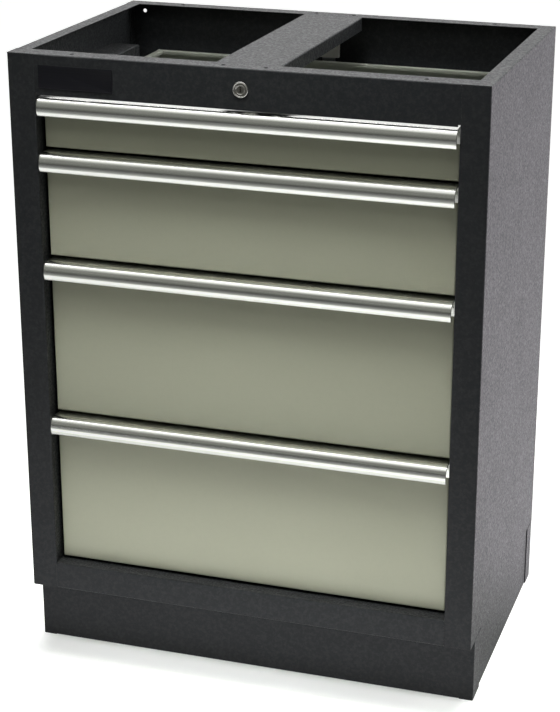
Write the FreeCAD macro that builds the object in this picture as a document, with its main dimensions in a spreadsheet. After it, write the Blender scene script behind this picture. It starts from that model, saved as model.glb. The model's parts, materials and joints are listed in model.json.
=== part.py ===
import FreeCAD, Part
import Sketcher
import math
import os
import re

# A steel tool cabinet for a workshop: an open-topped casing on a plinth, four drawers on
# telescopic slides, and a key lock that raises a bar behind the drawers.
# Millimetres. X runs to the right, Y from the front to the back, Z up from the floor.
# Inside this file every size is measured from the front plane of the casing, the floor and
# the middle of the width. Each piece is then moved back by FRONT, so that the origin lies
# on the floor, in the middle of the whole cabinet.

doc = FreeCAD.newDocument("ToolCabinet")
dims = doc.addObject("Spreadsheet::Sheet", "Dims")

DIMENSIONS = (
    # The casing
    ("width", 680),
    ("depth", 452),
    ("height", 912),
    ("sheet", 1),
    ("bend_round", 2),
    ("stile", 40),
    ("stile_return", 22),
    ("top_rail", 56.5),
    ("bottom_rail", 41.5),
    ("rail_hem", 10),
    ("hem_round", 0.9),
    ("rail_notch", 3),
    ("rail_seam", 0.2),
    ("rail_lip", 12),
    ("front_flange", 32),
    ("rear_flange", 28),
    ("side_flange", 22),
    ("base_flange", 16),
    ("back_return", 18),
    ("pan_lip", 14),
    ("joint_gap", 0.3),
    # The holes for a worktop and for the wall
    ("bolt_pitch_outer", 500),
    ("bolt_pitch_inner", 60),
    ("bolt_hole", 6.5),
    ("wall_hole", 6),
    ("wall_hole_inset", 20),
    ("wall_hole_drop", 15),
    # The brace across the open top
    ("brace_width", 93),
    ("brace_drop", 20),
    ("brace_tab_width", 84),
    ("brace_tab_grip", 20),
    # The plinth
    ("plinth_height", 98),
    ("plinth_sheet", 1.2),
    ("plinth_setback", 28.5),
    ("plinth_front_return", 42),
    ("plinth_rear_return", 34),
    ("plinth_flange", 18),
    ("plinth_screw", 3),
    ("plinth_screw_head", 6),
    ("plinth_screw_hole", 3.6),
    ("plinth_screw_inset", 10),
    ("plinth_screw_front", 44),
    ("plinth_screw_rear", 11),
    # The runner carriers and the telescopic slides
    ("carrier_inset", 6),
    ("carrier_front", 36),
    ("carrier_end_gap", 49),
    ("carrier_drop", 52),
    ("slide_space", 13),
    ("slide_end_gap", 24),
    ("slide_height", 45),
    ("slide_sheet", 1.2),
    ("slide_lip", 10),
    ("middle_lip", 9),
    ("inner_lip", 7.5),
    ("middle_offset", 2.2),
    ("ball_gap", 0.6),
    ("slide_rise", 30),
    ("rivet", 2.4),
    ("rivet_head", 4),
    ("rivet_head_height", 1.5),
    ("rivet_hole", 2.5),
    ("rivet_inset", 40),
    # The drawers
    ("rail_gap", 2.5),
    ("front_gap", 4.2),
    ("front_side_gap", 3.6),
    ("front_setback", 19),
    ("front_depth", 15),
    ("front_sheet", 1),
    ("front_round", 2),
    ("front_lip", 24),
    ("rear_space", 42),
    ("tray_sheet", 0.8),
    ("tray_round", 1.6),
    ("tray_rim", 10),
    ("tray_rim_lip", 5),
    ("tray_drop", 8),
    ("tray_lift", 5),
    ("screw", 2),
    ("screw_head", 3.8),
    ("screw_head_height", 1.6),
    ("screw_hole", 2.1),
    ("screw_edge", 5),
    # The grips
    ("grip_side_gap", 3),
    ("grip_proud", 6),
    ("grip_height", 26.5),
    ("grip_wall", 2),
    ("grip_web", 22),
    ("grip_cover", 8),
    ("nose_radius", 18),
    ("nose_low", 35),
    ("nose_high", 25),
    # The badge plate
    ("badge_width", 110),
    ("badge_height", 33),
    ("badge_thickness", 1.2),
    ("badge_left", 46),
    ("badge_drop", 14.5),
    ("badge_round", 1.5),
    # The lock, its rod and its bar
    ("lock_ring", 11),
    ("lock_ring_height", 2.5),
    ("lock_body", 9.5),
    ("lock_body_length", 24),
    ("lock_nut", 13),
    ("lock_nut_height", 5),
    ("plug", 6.5),
    ("plug_recess", 1),
    ("keyway_width", 1.8),
    ("keyway_height", 8),
    ("keyway_depth", 12),
    ("running_gap", 0.05),
    ("rod", 4),
    ("rod_back", 19),
    ("crank_radius", 14),
    ("crank_turn", 45),
    ("crank_hub", 9),
    ("crank_end", 6),
    ("crank_thickness", 4),
    ("crank_pin", 2.5),
    ("crank_pin_end", 1.7),
    ("pin_gap", 0.8),
    ("hanger_width", 30),
    ("hanger_sheet", 2),
    ("hanger_foot", 20),
    ("hanger_below", 12),
    ("hanger_gap", 11),
    ("bar_width", 20),
    ("bar_thickness", 3),
    ("bar_back_gap", 5),
    ("bar_offset", 12),
    ("bar_head", 10),
    ("bar_tail", 16),
    ("guide_wall", 6),
    ("guide_height", 20),
    ("guide_skin", 2),
    ("guide_slot_gap", 0.3),
    # The catches behind the drawers and the fingers of the bar
    ("catch_width", 20),
    ("catch_sheet", 2),
    ("catch_reach", 18),
    ("catch_foot", 12),
    ("catch_tip", 14),
    ("catch_drop", 14),
    ("finger_thickness", 3),
    ("finger_height", 13),
    ("finger_play", 2),
    ("finger_rest_gap", 8),
)

# The height of each drawer, in units of the opening, from the top down
DRAWER_UNITS = (1, 2, 3, 3)
ALL_UNITS = sum(DRAWER_UNITS)

for row, (alias, number) in enumerate(DIMENSIONS, 1):
    dims.set(f"A{row}", alias)
    dims.set(f"B{row}", str(number))
    dims.setAlias(f"B{row}", alias)
doc.recompute()

ALIASES = {alias for alias, number in DIMENSIONS}
WORD = re.compile(r"[a-z][a-z_]*")
CLEARLY_SMALLER = 1e-6


def bound(expression):
    """Name the sheet before each of its cells, as an expression of another object needs."""
    def with_sheet(match):
        word = match.group(0)
        return f"Dims.{word}" if word in ALIASES else word
    return WORD.sub(with_sheet, str(expression))


def number_of(expression):
    """The value of an expression in the sheet's cells."""
    return float(dims.evalExpression(str(expression)))


# Places that many pieces share, written in the cells of the sheet
HALF = "(width / 2)"
FRONT = "((grip_proud - depth) / 2)"
OPEN_HALF = "(width / 2 - stile)"
OPEN_TOP = "(height - top_rail)"
OPEN_BOTTOM = "(plinth_height + bottom_rail)"
UNIT = f"(({OPEN_TOP} - rail_gap - {OPEN_BOTTOM}) / {ALL_UNITS})"
UNDER_TOP = "(height - sheet)"
INSIDE_HALF = "(width / 2 - sheet)"
BACK_INSIDE = "(depth - sheet)"
FLOOR_TOP = "(plinth_height + 2 * sheet)"
BEND_IN = "(bend_round - sheet)"
CARRIER_FACE = f"({OPEN_HALF} - carrier_inset)"
CARRIER_TOP = "(height - carrier_drop)"
TRAY_HALF = f"({CARRIER_FACE} - slide_space)"
FRONT_HALF = f"({OPEN_HALF} - front_side_gap)"
FRONT_BACK = "(front_setback + front_depth)"
TRAY_BACK = "(depth - rear_space)"
SLIDE_BACK = f"({TRAY_BACK} - slide_end_gap)"
CARRIER_BACK = f"({TRAY_BACK} - carrier_end_gap)"
LOCK_HEIGHT = "(height - top_rail / 2)"
SIDES = (-1, 1)


def new_piece(label):
    """An empty piece, moved so that the origin is under the middle of the cabinet."""
    piece = doc.addObject("PartDesign::Body", label)
    piece.Label = label
    piece.AllowCompound = True
    piece.setExpression("Placement.Base.y", bound(FRONT))
    return piece


def base_plane(piece, name):
    """One of the piece's own base planes: XY, XZ or YZ."""
    for feature in piece.Origin.OriginFeatures:
        if feature.Role == f"{name}_Plane":
            return feature
    raise ValueError(name)


def new_sketch(piece, plane, place):
    """A sketch parallel to a base plane, at a place along the axis that the plane faces."""
    sketch = piece.newObject("Sketcher::SketchObject", f"{piece.Label}_sketch")
    sketch.AttachmentSupport = (base_plane(piece, plane), [""])
    sketch.MapMode = "FlatFace"
    facing = -1 if plane == "XZ" else 1
    sketch.AttachmentOffset.Base = FreeCAD.Vector(0, 0, facing * number_of(place))
    sketch.setExpression("AttachmentOffset.Base.z", bound(f"{facing} * ({place})"))
    return sketch


def fix_size(sketch, constraint, expression):
    """Add a constraint and bind its size to the sheet."""
    index = sketch.addConstraint(constraint)
    sketch.setExpression(f"Constraints[{index}]", bound(expression))


def fix_place(sketch, edge, end, x, y):
    """Fix one end of an edge, or a circle's centre, at x and y."""
    fix_size(sketch, Sketcher.Constraint("DistanceX", -1, 1, edge, end, number_of(x)), x)
    fix_size(sketch, Sketcher.Constraint("DistanceY", -1, 1, edge, end, number_of(y)), y)


def stepped(expression, direction, distance):
    """An expression moved by a distance in a whole direction: -1, 0 or 1."""
    if direction == 0:
        return expression
    sign = "+" if direction > 0 else "-"
    return f"({expression}) {sign} ({distance})"


def direction_between(start, end):
    """The whole direction, along x or y, from one corner to the next."""
    step_x = number_of(end[0]) - number_of(start[0])
    step_y = number_of(end[1]) - number_of(start[1])
    if abs(step_x) > abs(step_y):
        return int(math.copysign(1, step_x)), 0
    return 0, int(math.copysign(1, step_y))


def rounded_corners(corners):
    """Turn each corner that has a third value, its radius, into the two ends of an arc.

    The result lists (x, y, arc): arc is None before a straight edge, or the radius and
    whether the arc turns to the left. Only square corners are rounded.
    """
    points = []
    count = len(corners)
    for index, corner in enumerate(corners):
        x, y = corner[0], corner[1]
        if len(corner) == 2:
            points.append((x, y, None))
            continue
        radius = corner[2]
        arriving = direction_between(corners[index - 1], corner)
        leaving = direction_between(corner, corners[(index + 1) % count])
        turns_left = arriving[0] * leaving[1] - arriving[1] * leaving[0] > 0
        start = (stepped(x, -arriving[0], radius), stepped(y, -arriving[1], radius))
        end = (stepped(x, leaving[0], radius), stepped(y, leaving[1], radius))
        points.append((*start, (radius, turns_left)))
        points.append((*end, None))
    return points


def arc_between(start, end, radius, turns_left):
    """The arc under half a turn from start to end; it always runs to the left."""
    if not turns_left:
        start, end = end, start
    chord = end - start
    middle = (start + end) / 2
    rise = math.sqrt(max(radius ** 2 - (chord.Length / 2) ** 2, 0))
    leftward = FreeCAD.Vector(-chord.y, chord.x, 0).normalize()
    centre = middle + leftward * rise
    first = math.atan2(start.y - centre.y, start.x - centre.x)
    last = math.atan2(end.y - centre.y, end.x - centre.x)
    circle = Part.Circle(centre, FreeCAD.Vector(0, 0, 1), radius)
    return Part.ArcOfCircle(circle, first, last)


def draw_outline(sketch, points):
    """Draw a closed outline of straight edges and arcs, every point fixed by expressions."""
    places = [FreeCAD.Vector(number_of(x), number_of(y), 0) for x, y, arc in points]
    count = len(points)
    first_edge = sketch.GeometryCount
    start_end = []
    for index, (x, y, arc) in enumerate(points):
        start = places[index]
        end = places[(index + 1) % count]
        if arc is None:
            sketch.addGeometry(Part.LineSegment(start, end), False)
            start_end.append((1, 2))
            continue
        radius, turns_left = arc
        sketch.addGeometry(arc_between(start, end, number_of(radius), turns_left), False)
        start_end.append((1, 2) if turns_left else (2, 1))
    for index, (x, y, arc) in enumerate(points):
        edge = first_edge + index
        before = first_edge + (index - 1) % count
        start_point = start_end[index][0]
        point_before = start_end[index - 1][1]
        sketch.addConstraint(Sketcher.Constraint("Coincident", before, point_before, edge, start_point))
        fix_place(sketch, edge, start_point, x, y)
        if arc is not None:
            fix_size(sketch, Sketcher.Constraint("Radius", edge, number_of(arc[0])), arc[0])


def outline_with_arcs(*points):
    """A drawing of one closed outline whose points say which edges are arcs."""
    return lambda sketch: draw_outline(sketch, points)


def draw_circles(sketch, centres, radius):
    """Draw equal circles, each fixed at its centre."""
    for x, y in centres:
        centre = FreeCAD.Vector(number_of(x), number_of(y), 0)
        circle = Part.Circle(centre, FreeCAD.Vector(0, 0, 1), number_of(radius))
        edge = sketch.addGeometry(circle, False)
        fix_place(sketch, edge, 3, x, y)
        fix_size(sketch, Sketcher.Constraint("Radius", edge, number_of(radius)), radius)


def add(piece, plane, start, end, draw):
    """Grow material from a drawing, between two places along the axis its plane faces."""
    sketch = new_sketch(piece, plane, start)
    draw(sketch)
    pad = piece.newObject("PartDesign::Pad", f"{piece.Label}_pad")
    pad.Profile = sketch
    pad.setExpression("Length", bound(f"({end}) - ({start})"))
    pad.Reversed = plane == "XZ"
    piece.Tip = pad
    return pad


def cut(piece, plane, start, end, draw):
    """Take away the material of a drawing, between two places along its plane's axis."""
    sketch = new_sketch(piece, plane, start if plane == "XZ" else end)
    draw(sketch)
    pocket = piece.newObject("PartDesign::Pocket", f"{piece.Label}_pocket")
    pocket.Profile = sketch
    pocket.setExpression("Length", bound(f"({end}) - ({start})"))
    piece.Tip = pocket
    return pocket


def outline(*corners):
    """A drawing of one closed outline. A corner's third value is its rounding."""
    return lambda sketch: draw_outline(sketch, rounded_corners(corners))


def rectangle(left, right, bottom, top):
    """A drawing of one rectangle."""
    return outline((left, bottom), (right, bottom), (right, top), (left, top))


def circles(centres, radius):
    """A drawing of equal circles."""
    return lambda sketch: draw_circles(sketch, centres, radius)


def both_sides(x, y):
    """The same place on the left and on the right."""
    return [(f"{side} * ({x})", y) for side in SIDES]


def on_side(side, first, second):
    """Two distances from the middle, as left and right edges on one side of the cabinet."""
    edges = (f"{side} * ({first})", f"{side} * ({second})")
    return edges if number_of(edges[0]) < number_of(edges[1]) else edges[::-1]


# The casing

PLINTH_SCREW_PLACES = ("carrier_front + plinth_screw_front", f"{CARRIER_BACK} + plinth_screw_rear")


def side_panel(label, side):
    """One sheet: the side wall, the front stile with its return, and flanges above and below."""
    piece = new_piece(label)
    outer, inner = f"{side} * {HALF}", f"{side} * {INSIDE_HALF}"
    opening, behind = f"{side} * {OPEN_HALF}", f"{side} * ({OPEN_HALF} + sheet)"
    stile = outline(
        (outer, "front_flange"), (outer, "0", "bend_round"), (opening, "0", "bend_round"),
        (opening, "stile_return"), (behind, "stile_return"), (behind, "sheet", BEND_IN),
        (inner, "sheet", BEND_IN), (inner, "front_flange"))
    add(piece, "XY", "plinth_height", UNDER_TOP, stile)
    top_edge = f"{side} * ({HALF} - side_flange)"
    base_edge = f"{side} * ({HALF} - base_flange)"
    floor_level, over_base = "plinth_height", "plinth_height + sheet"
    wall = outline(
        (outer, floor_level, "bend_round"), (outer, "height", "bend_round"),
        (top_edge, "height"), (top_edge, UNDER_TOP), (inner, UNDER_TOP, BEND_IN),
        (inner, over_base, BEND_IN), (base_edge, over_base), (base_edge, floor_level))
    wall_back = "depth - rear_flange"
    add(piece, "XZ", "front_flange", wall_back, wall)
    behind_flange = outline(
        (outer, floor_level, "bend_round"), (outer, UNDER_TOP), (inner, UNDER_TOP),
        (inner, over_base, BEND_IN), (base_edge, over_base), (base_edge, floor_level))
    add(piece, "XZ", wall_back, BACK_INSIDE, behind_flange)
    screws = [(f"{side} * ({HALF} - plinth_screw_inset)", place) for place in PLINTH_SCREW_PLACES]
    cut(piece, "XY", floor_level, over_base, circles(screws, "plinth_screw_hole"))
    return piece


def bolt_line(place):
    """The four bolt holes in one top flange, at a distance from the front."""
    return both_sides("bolt_pitch_outer / 2", place) + both_sides("bolt_pitch_inner / 2", place)


def fill_grooves(piece, bottom, top):
    """Carry a rail's face over the rounded edges of both stiles, as a weld ground flush does."""
    gap_round = "(bend_round + rail_seam)"
    rail_end = f"({OPEN_HALF} - rail_seam)"
    tip = f"({OPEN_HALF} + bend_round - sqrt({gap_round}^2 - bend_round^2))"
    for side in SIDES:
        arc = (gap_round, side < 0)
        groove = outline_with_arcs(
            (f"{side} * {rail_end}", "0", None), (f"{side} * {tip}", "0", arc),
            (f"{side} * {rail_end}", "bend_round", None))
        add(piece, "XY", bottom, top, groove)


def top_rail_piece():
    """The rail over the drawers: its face ends in a hem, its flange runs over both stiles."""
    piece = new_piece("top_rail")
    face_half = f"({OPEN_HALF} - rail_seam)"
    hem_back = "2 * sheet"
    hem_top = f"{OPEN_TOP} + rail_hem"
    face = outline(
        ("0", OPEN_TOP, "hem_round"), ("0", "height", "bend_round"), ("front_flange", "height"),
        ("front_flange", UNDER_TOP), ("sheet", UNDER_TOP, BEND_IN), ("sheet", hem_top),
        (hem_back, hem_top), (hem_back, OPEN_TOP, "hem_round"))
    add(piece, "YZ", f"-{face_half}", face_half, face)
    for side in SIDES:
        left, right = on_side(side, face_half, HALF)
        add(piece, "XY", UNDER_TOP, "height", rectangle(left, right, "rail_seam", "front_flange"))
        left, right = on_side(side, f"{OPEN_HALF} - rail_notch", OPEN_HALF)
        notch = rectangle(left, right, OPEN_TOP, f"{OPEN_TOP} + rail_notch")
        cut(piece, "XZ", "0", hem_back, notch)
    fill_grooves(piece, f"{OPEN_TOP} + rail_notch", "height - bend_round")
    bolts = circles(bolt_line("front_flange / 2"), "bolt_hole / 2")
    cut(piece, "XY", UNDER_TOP, "height", bolts)
    lock_hole = circles([("0", LOCK_HEIGHT)], "lock_body + running_gap")
    cut(piece, "XZ", "0", "sheet", lock_hole)
    return piece


def bottom_rail_piece():
    """The rail under the drawers: a channel with a turned-down lip inside."""
    piece = new_piece("bottom_rail")
    face_half = f"({OPEN_HALF} - rail_seam)"
    lip_front, lip_bottom = "stile_return - sheet", f"{OPEN_BOTTOM} - rail_lip"
    section = outline(
        ("0", "plinth_height", "bend_round"), ("0", OPEN_BOTTOM, "bend_round"),
        ("stile_return", OPEN_BOTTOM, "bend_round"), ("stile_return", lip_bottom),
        (lip_front, lip_bottom), (lip_front, f"{OPEN_BOTTOM} - sheet", BEND_IN),
        ("sheet", f"{OPEN_BOTTOM} - sheet", BEND_IN), ("sheet", "plinth_height + sheet", BEND_IN),
        ("front_flange", "plinth_height + sheet"), ("front_flange", "plinth_height"))
    add(piece, "YZ", f"-{face_half}", face_half, section)
    fill_grooves(piece, "plinth_height + bend_round", f"{OPEN_BOTTOM} - bend_round")
    return piece


def back_panel_piece():
    """The back: a sheet over the ends of the side walls, returned inside them and on top."""
    piece = new_piece("back_panel")
    top = outline(
        ("depth", "plinth_height"), ("depth", "height", "bend_round"),
        ("depth - rear_flange", "height"), ("depth - rear_flange", UNDER_TOP),
        (BACK_INSIDE, UNDER_TOP, BEND_IN), (BACK_INSIDE, "plinth_height"))
    add(piece, "YZ", f"-{HALF}", HALF, top)
    return_bottom = f"{FLOOR_TOP} + joint_gap"
    for side in SIDES:
        left, right = on_side(side, f"{INSIDE_HALF} - sheet", INSIDE_HALF)
        leg = rectangle(left, right, f"{BACK_INSIDE} - back_return", BACK_INSIDE)
        add(piece, "XY", return_bottom, UNDER_TOP, leg)
    bolts = circles(bolt_line("depth - rear_flange / 2"), "bolt_hole / 2")
    cut(piece, "XY", UNDER_TOP, "height", bolts)
    wall_holes = both_sides(f"{HALF} - wall_hole_inset", "height - wall_hole_drop")
    cut(piece, "XZ", BACK_INSIDE, "depth", circles(wall_holes, "wall_hole / 2"))
    return piece


def floor_pan_piece():
    """The floor of the casing: a plate on the base flanges with a lip up along the back."""
    piece = new_piece("floor_pan")
    pan_half = f"({INSIDE_HALF} - sheet - joint_gap)"
    pan_bottom = "plinth_height + sheet"
    pan_back = f"{BACK_INSIDE} - joint_gap"
    section = outline(
        ("stile_return + joint_gap", pan_bottom), (pan_back, pan_bottom, "bend_round"),
        (pan_back, f"{pan_bottom} + pan_lip"), (f"{pan_back} - sheet", f"{pan_bottom} + pan_lip"),
        (f"{pan_back} - sheet", FLOOR_TOP, BEND_IN), ("stile_return + joint_gap", FLOOR_TOP))
    add(piece, "YZ", f"-{pan_half}", pan_half, section)
    screws = []
    for place in PLINTH_SCREW_PLACES:
        screws += both_sides(f"{HALF} - plinth_screw_inset", place)
    cut(piece, "XY", pan_bottom, FLOOR_TOP, circles(screws, "plinth_screw + running_gap"))
    return piece


BRACE_FRONT = "(front_flange + joint_gap)"
BRACE_BACK = "(depth - rear_flange - joint_gap)"
TAB_BOTTOM = "(height - 2 * sheet)"
TAB_BACK = "(depth - rear_flange + brace_tab_grip)"


def cross_brace_piece():
    """A channel, open downwards, level with the flanges; its tabs reach under both of them."""
    piece = new_piece("cross_brace")
    half, inner = "brace_width / 2", "(brace_width / 2 - sheet)"
    bottom = "height - brace_drop"
    channel = outline(
        (f"-{half}", bottom), (f"-{half}", "height", "bend_round"), (half, "height", "bend_round"),
        (half, bottom), (inner, bottom), (inner, UNDER_TOP, BEND_IN),
        (f"-{inner}", UNDER_TOP, BEND_IN), (f"-{inner}", bottom))
    add(piece, "XZ", BRACE_FRONT, BRACE_BACK, channel)
    tab_half = "brace_tab_width / 2"
    front_tab = rectangle(f"-{tab_half}", tab_half, "front_flange - brace_tab_grip",
                          "front_flange + brace_tab_grip")
    add(piece, "XY", TAB_BOTTOM, UNDER_TOP, front_tab)
    # The rear tab is twice as long in front, because the hanger of the lock's rod is under it.
    rear_tab = rectangle(f"-{tab_half}", tab_half, f"{BRACE_BACK} - 2 * brace_tab_grip", TAB_BACK)
    add(piece, "XY", TAB_BOTTOM, UNDER_TOP, rear_tab)
    holes = both_sides("bolt_pitch_inner / 2", "front_flange / 2")
    holes += both_sides("bolt_pitch_inner / 2", "depth - rear_flange / 2")
    cut(piece, "XY", TAB_BOTTOM, UNDER_TOP, circles(holes, "bolt_hole / 2"))
    return piece


# The plinth

PLINTH_INNER_HALF = f"({HALF} - plinth_sheet)"
PLINTH_FACE_BACK = "(plinth_setback + plinth_sheet)"
PLINTH_ROUND_IN = "(bend_round - plinth_sheet)"


def plinth_channel(piece, face, back, wrap_end, flange_end):
    """A channel across the whole width, whose ends wrap round the corners of the plinth.

    face and back are the two sides of its upright sheet. The wraps and the flanges both reach
    inwards from it, as far as wrap_end and flange_end.
    """
    middle_half = f"({HALF} - plinth_flange - 2 * plinth_sheet - joint_gap)"
    over, under = "plinth_sheet", "(plinth_height - plinth_sheet)"
    section = outline(
        (flange_end, "0"), (face, "0", "bend_round"), (face, "plinth_height", "bend_round"),
        (flange_end, "plinth_height"), (flange_end, under), (back, under, PLINTH_ROUND_IN),
        (back, over, PLINTH_ROUND_IN), (flange_end, over))
    add(piece, "YZ", f"-{middle_half}", middle_half, section)
    for side in SIDES:
        outer, inner = f"{side} * {HALF}", f"{side} * {PLINTH_INNER_HALF}"
        edge = f"{side} * {middle_half}"
        plan = outline(
            (edge, face), (outer, face, "bend_round"), (outer, wrap_end), (inner, wrap_end),
            (inner, back, PLINTH_ROUND_IN), (edge, back))
        add(piece, "XY", "0", "plinth_height", plan)


def plinth_front_piece():
    """The kick board, set back under the casing."""
    piece = new_piece("plinth_front")
    plinth_channel(piece, "plinth_setback", PLINTH_FACE_BACK,
                   "plinth_setback + plinth_front_return", "plinth_setback + plinth_flange")
    return piece


def plinth_side_piece(label, side):
    """A channel along the side, tucked inside the front piece and inside the rear piece."""
    piece = new_piece(label)
    outer, inner = f"{side} * {PLINTH_INNER_HALF}", f"{side} * ({PLINTH_INNER_HALF} - plinth_sheet)"
    edge = f"{side} * ({PLINTH_INNER_HALF} - plinth_flange)"
    over, under = "plinth_sheet", "plinth_height - plinth_sheet"
    section = outline(
        (outer, "0", "bend_round"), (outer, "plinth_height", "bend_round"), (edge, "plinth_height"),
        (edge, under), (inner, under, PLINTH_ROUND_IN), (inner, over, PLINTH_ROUND_IN),
        (edge, over), (edge, "0"))
    front, back = f"{PLINTH_FACE_BACK} + {PLINTH_ROUND_IN}", f"depth - plinth_sheet - {PLINTH_ROUND_IN}"
    add(piece, "XZ", front, back, section)
    screws = [(f"{side} * ({HALF} - plinth_screw_inset)", place) for place in PLINTH_SCREW_PLACES]
    cut(piece, "XY", under, "plinth_height", circles(screws, "plinth_screw_hole"))
    return piece


def plinth_rear_piece():
    """The rear of the plinth, level with the back of the casing."""
    piece = new_piece("plinth_rear")
    plinth_channel(piece, "depth", "depth - plinth_sheet",
                   "depth - plinth_rear_return", "depth - plinth_flange")
    return piece


def plinth_screws_piece():
    """Four screws that hold the casing down on the plinth."""
    piece = new_piece("plinth_screws")
    places = []
    for place in PLINTH_SCREW_PLACES:
        places += both_sides(f"{HALF} - plinth_screw_inset", place)
    under = "plinth_height - plinth_sheet"
    add(piece, "XY", f"{under} - screw_head_height", under, circles(places, "plinth_screw_head"))
    add(piece, "XY", under, f"{FLOOR_TOP} + plinth_screw", circles(places, "plinth_screw"))
    return piece


# The drawers and their slides

def units_above(index):
    """How many units of the opening lie above a drawer."""
    return sum(DRAWER_UNITS[:index])


def grip_top(index):
    return f"({OPEN_TOP} - rail_gap - {units_above(index)} * {UNIT})"


def front_bottom(index):
    return f"({grip_top(index)} - {DRAWER_UNITS[index]} * {UNIT} + front_gap)"


def tray_bottom(index):
    return f"({front_bottom(index)} + tray_lift)"


def tray_top(index):
    return f"({grip_top(index)} - tray_drop)"


def slide_middle_height(index):
    return f"({tray_bottom(index)} + slide_rise)"


RIVET_PLACES = ("carrier_front + rivet_inset", f"{CARRIER_BACK} - rivet_inset")


def rivet_centres(indices):
    """Where the rivets of the slides of some drawers are, seen from the side."""
    return [(place, slide_middle_height(index)) for index in indices for place in RIVET_PLACES]


def runner_carrier(label, side):
    """An upright channel that carries the fixed parts of all four slides on one side."""
    piece = new_piece(label)
    face, behind = f"{side} * {CARRIER_FACE}", f"{side} * ({CARRIER_FACE} + sheet)"
    edge = f"{side} * {INSIDE_HALF}"
    section = outline(
        (face, FLOOR_TOP, "bend_round"), (face, CARRIER_TOP, "bend_round"), (edge, CARRIER_TOP),
        (edge, f"{CARRIER_TOP} - sheet"), (behind, f"{CARRIER_TOP} - sheet", BEND_IN),
        (behind, f"{FLOOR_TOP} + sheet", BEND_IN), (edge, f"{FLOOR_TOP} + sheet"), (edge, FLOOR_TOP))
    add(piece, "XZ", "carrier_front", CARRIER_BACK, section)
    screw = [(f"{side} * ({HALF} - plinth_screw_inset)", PLINTH_SCREW_PLACES[0])]
    cut(piece, "XY", FLOOR_TOP, f"{FLOOR_TOP} + sheet", circles(screw, "plinth_screw_hole"))
    left, right = on_side(side, CARRIER_FACE, f"{CARRIER_FACE} + sheet")
    all_rivets = rivet_centres(range(len(DRAWER_UNITS)))
    cut(piece, "YZ", left, right, circles(all_rivets, "rivet_hole"))
    return piece


def slide_channel(piece, side, web, lip, half_height, level):
    """One member of a slide. web is the outer face of its upright strip.

    lip is the width of its two flanges, which point at the drawer, or away from it if lip is
    below 0.
    """
    wall = "slide_sheet" if number_of(lip) > 0 else "-slide_sheet"
    outer, inner = f"{side} * ({web})", f"{side} * (({web}) - ({wall}))"
    edge = f"{side} * (({web}) - ({lip}))"
    low, high = f"{level} - ({half_height})", f"{level} + ({half_height})"
    section = outline(
        (outer, low), (outer, high), (edge, high), (edge, f"{high} - slide_sheet"),
        (inner, f"{high} - slide_sheet"), (inner, f"{low} + slide_sheet"),
        (edge, f"{low} + slide_sheet"), (edge, low))
    add(piece, "XZ", "carrier_front", SLIDE_BACK, section)


def slide_outer(index):
    """The fixed members, riveted to the carriers."""
    piece = new_piece(f"slide_{index + 1}_outer")
    for side in SIDES:
        level = slide_middle_height(index)
        slide_channel(piece, side, CARRIER_FACE, "slide_lip", "slide_height / 2", level)
        left, right = on_side(side, f"{CARRIER_FACE} - slide_sheet", CARRIER_FACE)
        cut(piece, "YZ", left, right, circles(rivet_centres([index]), "rivet_hole"))
    return piece


def slide_middle(index):
    """The members between, which move half as far as the drawer."""
    piece = new_piece(f"slide_{index + 1}_middle")
    half_height = "slide_height / 2 - slide_sheet - ball_gap"
    for side in SIDES:
        web = f"{CARRIER_FACE} - middle_offset"
        slide_channel(piece, side, web, "middle_lip", half_height, slide_middle_height(index))
    return piece


def slide_inner(index):
    """The members riveted to the drawer's tray."""
    piece = new_piece(f"drawer_{index + 1}_slides")
    half_height = "slide_height / 2 - 2 * slide_sheet - 2 * ball_gap"
    for side in SIDES:
        slide_channel(piece, side, TRAY_HALF, "-inner_lip", half_height, slide_middle_height(index))
        left, right = on_side(side, TRAY_HALF, f"{TRAY_HALF} + slide_sheet")
        cut(piece, "YZ", left, right, circles(rivet_centres([index]), "rivet_hole"))
    return piece


def add_rivets(piece, side, head_face, shank_end, indices):
    """Rivets along X: the head stands on one face, the shank ends level with another."""
    outward = number_of(head_face) > number_of(shank_end)
    head_edge = f"{head_face} + rivet_head_height" if outward else f"{head_face} - rivet_head_height"
    left, right = on_side(side, head_face, head_edge)
    add(piece, "YZ", left, right, circles(rivet_centres(indices), "rivet_head"))
    left, right = on_side(side, head_face, shank_end)
    add(piece, "YZ", left, right, circles(rivet_centres(indices), "rivet"))


def carrier_rivets_piece():
    """The rivets that hold the fixed members on the carriers."""
    piece = new_piece("slide_rivets")
    for side in SIDES:
        all_drawers = range(len(DRAWER_UNITS))
        add_rivets(piece, side, f"{CARRIER_FACE} + sheet", f"{CARRIER_FACE} - slide_sheet", all_drawers)
    return piece


# How many screws hold a front on its tray at each end, and a grip on its front
FRONT_SCREWS = (1, 2, 3, 3)
GRIP_SCREWS = 5


def front_screw_centres(index):
    """Screws from inside the tray into the lips of the front, in two upright rows."""
    count = FRONT_SCREWS[index]
    bottom, top = tray_bottom(index), tray_top(index)
    centres = []
    for number in range(count):
        share = (number + 1) / (count + 1)
        height = f"{bottom} + {share:.3f} * ({top} - {bottom})"
        centres += both_sides(f"({TRAY_HALF} - screw_edge)", height)
    return centres


def grip_screw_centres(index):
    """Screws from inside the front into the web of the grip, in one level row."""
    centres = []
    for number in range(GRIP_SCREWS):
        share = (2 * number + 1) / GRIP_SCREWS - 1
        centres.append((f"{share:.3f} * {FRONT_HALF}", f"{grip_top(index)} - grip_web / 2 - grip_wall"))
    return centres


TRAY_INNER = f"({TRAY_HALF} - tray_sheet)"
RIM_BACK = f"({TRAY_BACK} - tray_rim)"
TRAY_ROUND_IN = "(tray_round - tray_sheet)"


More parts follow.
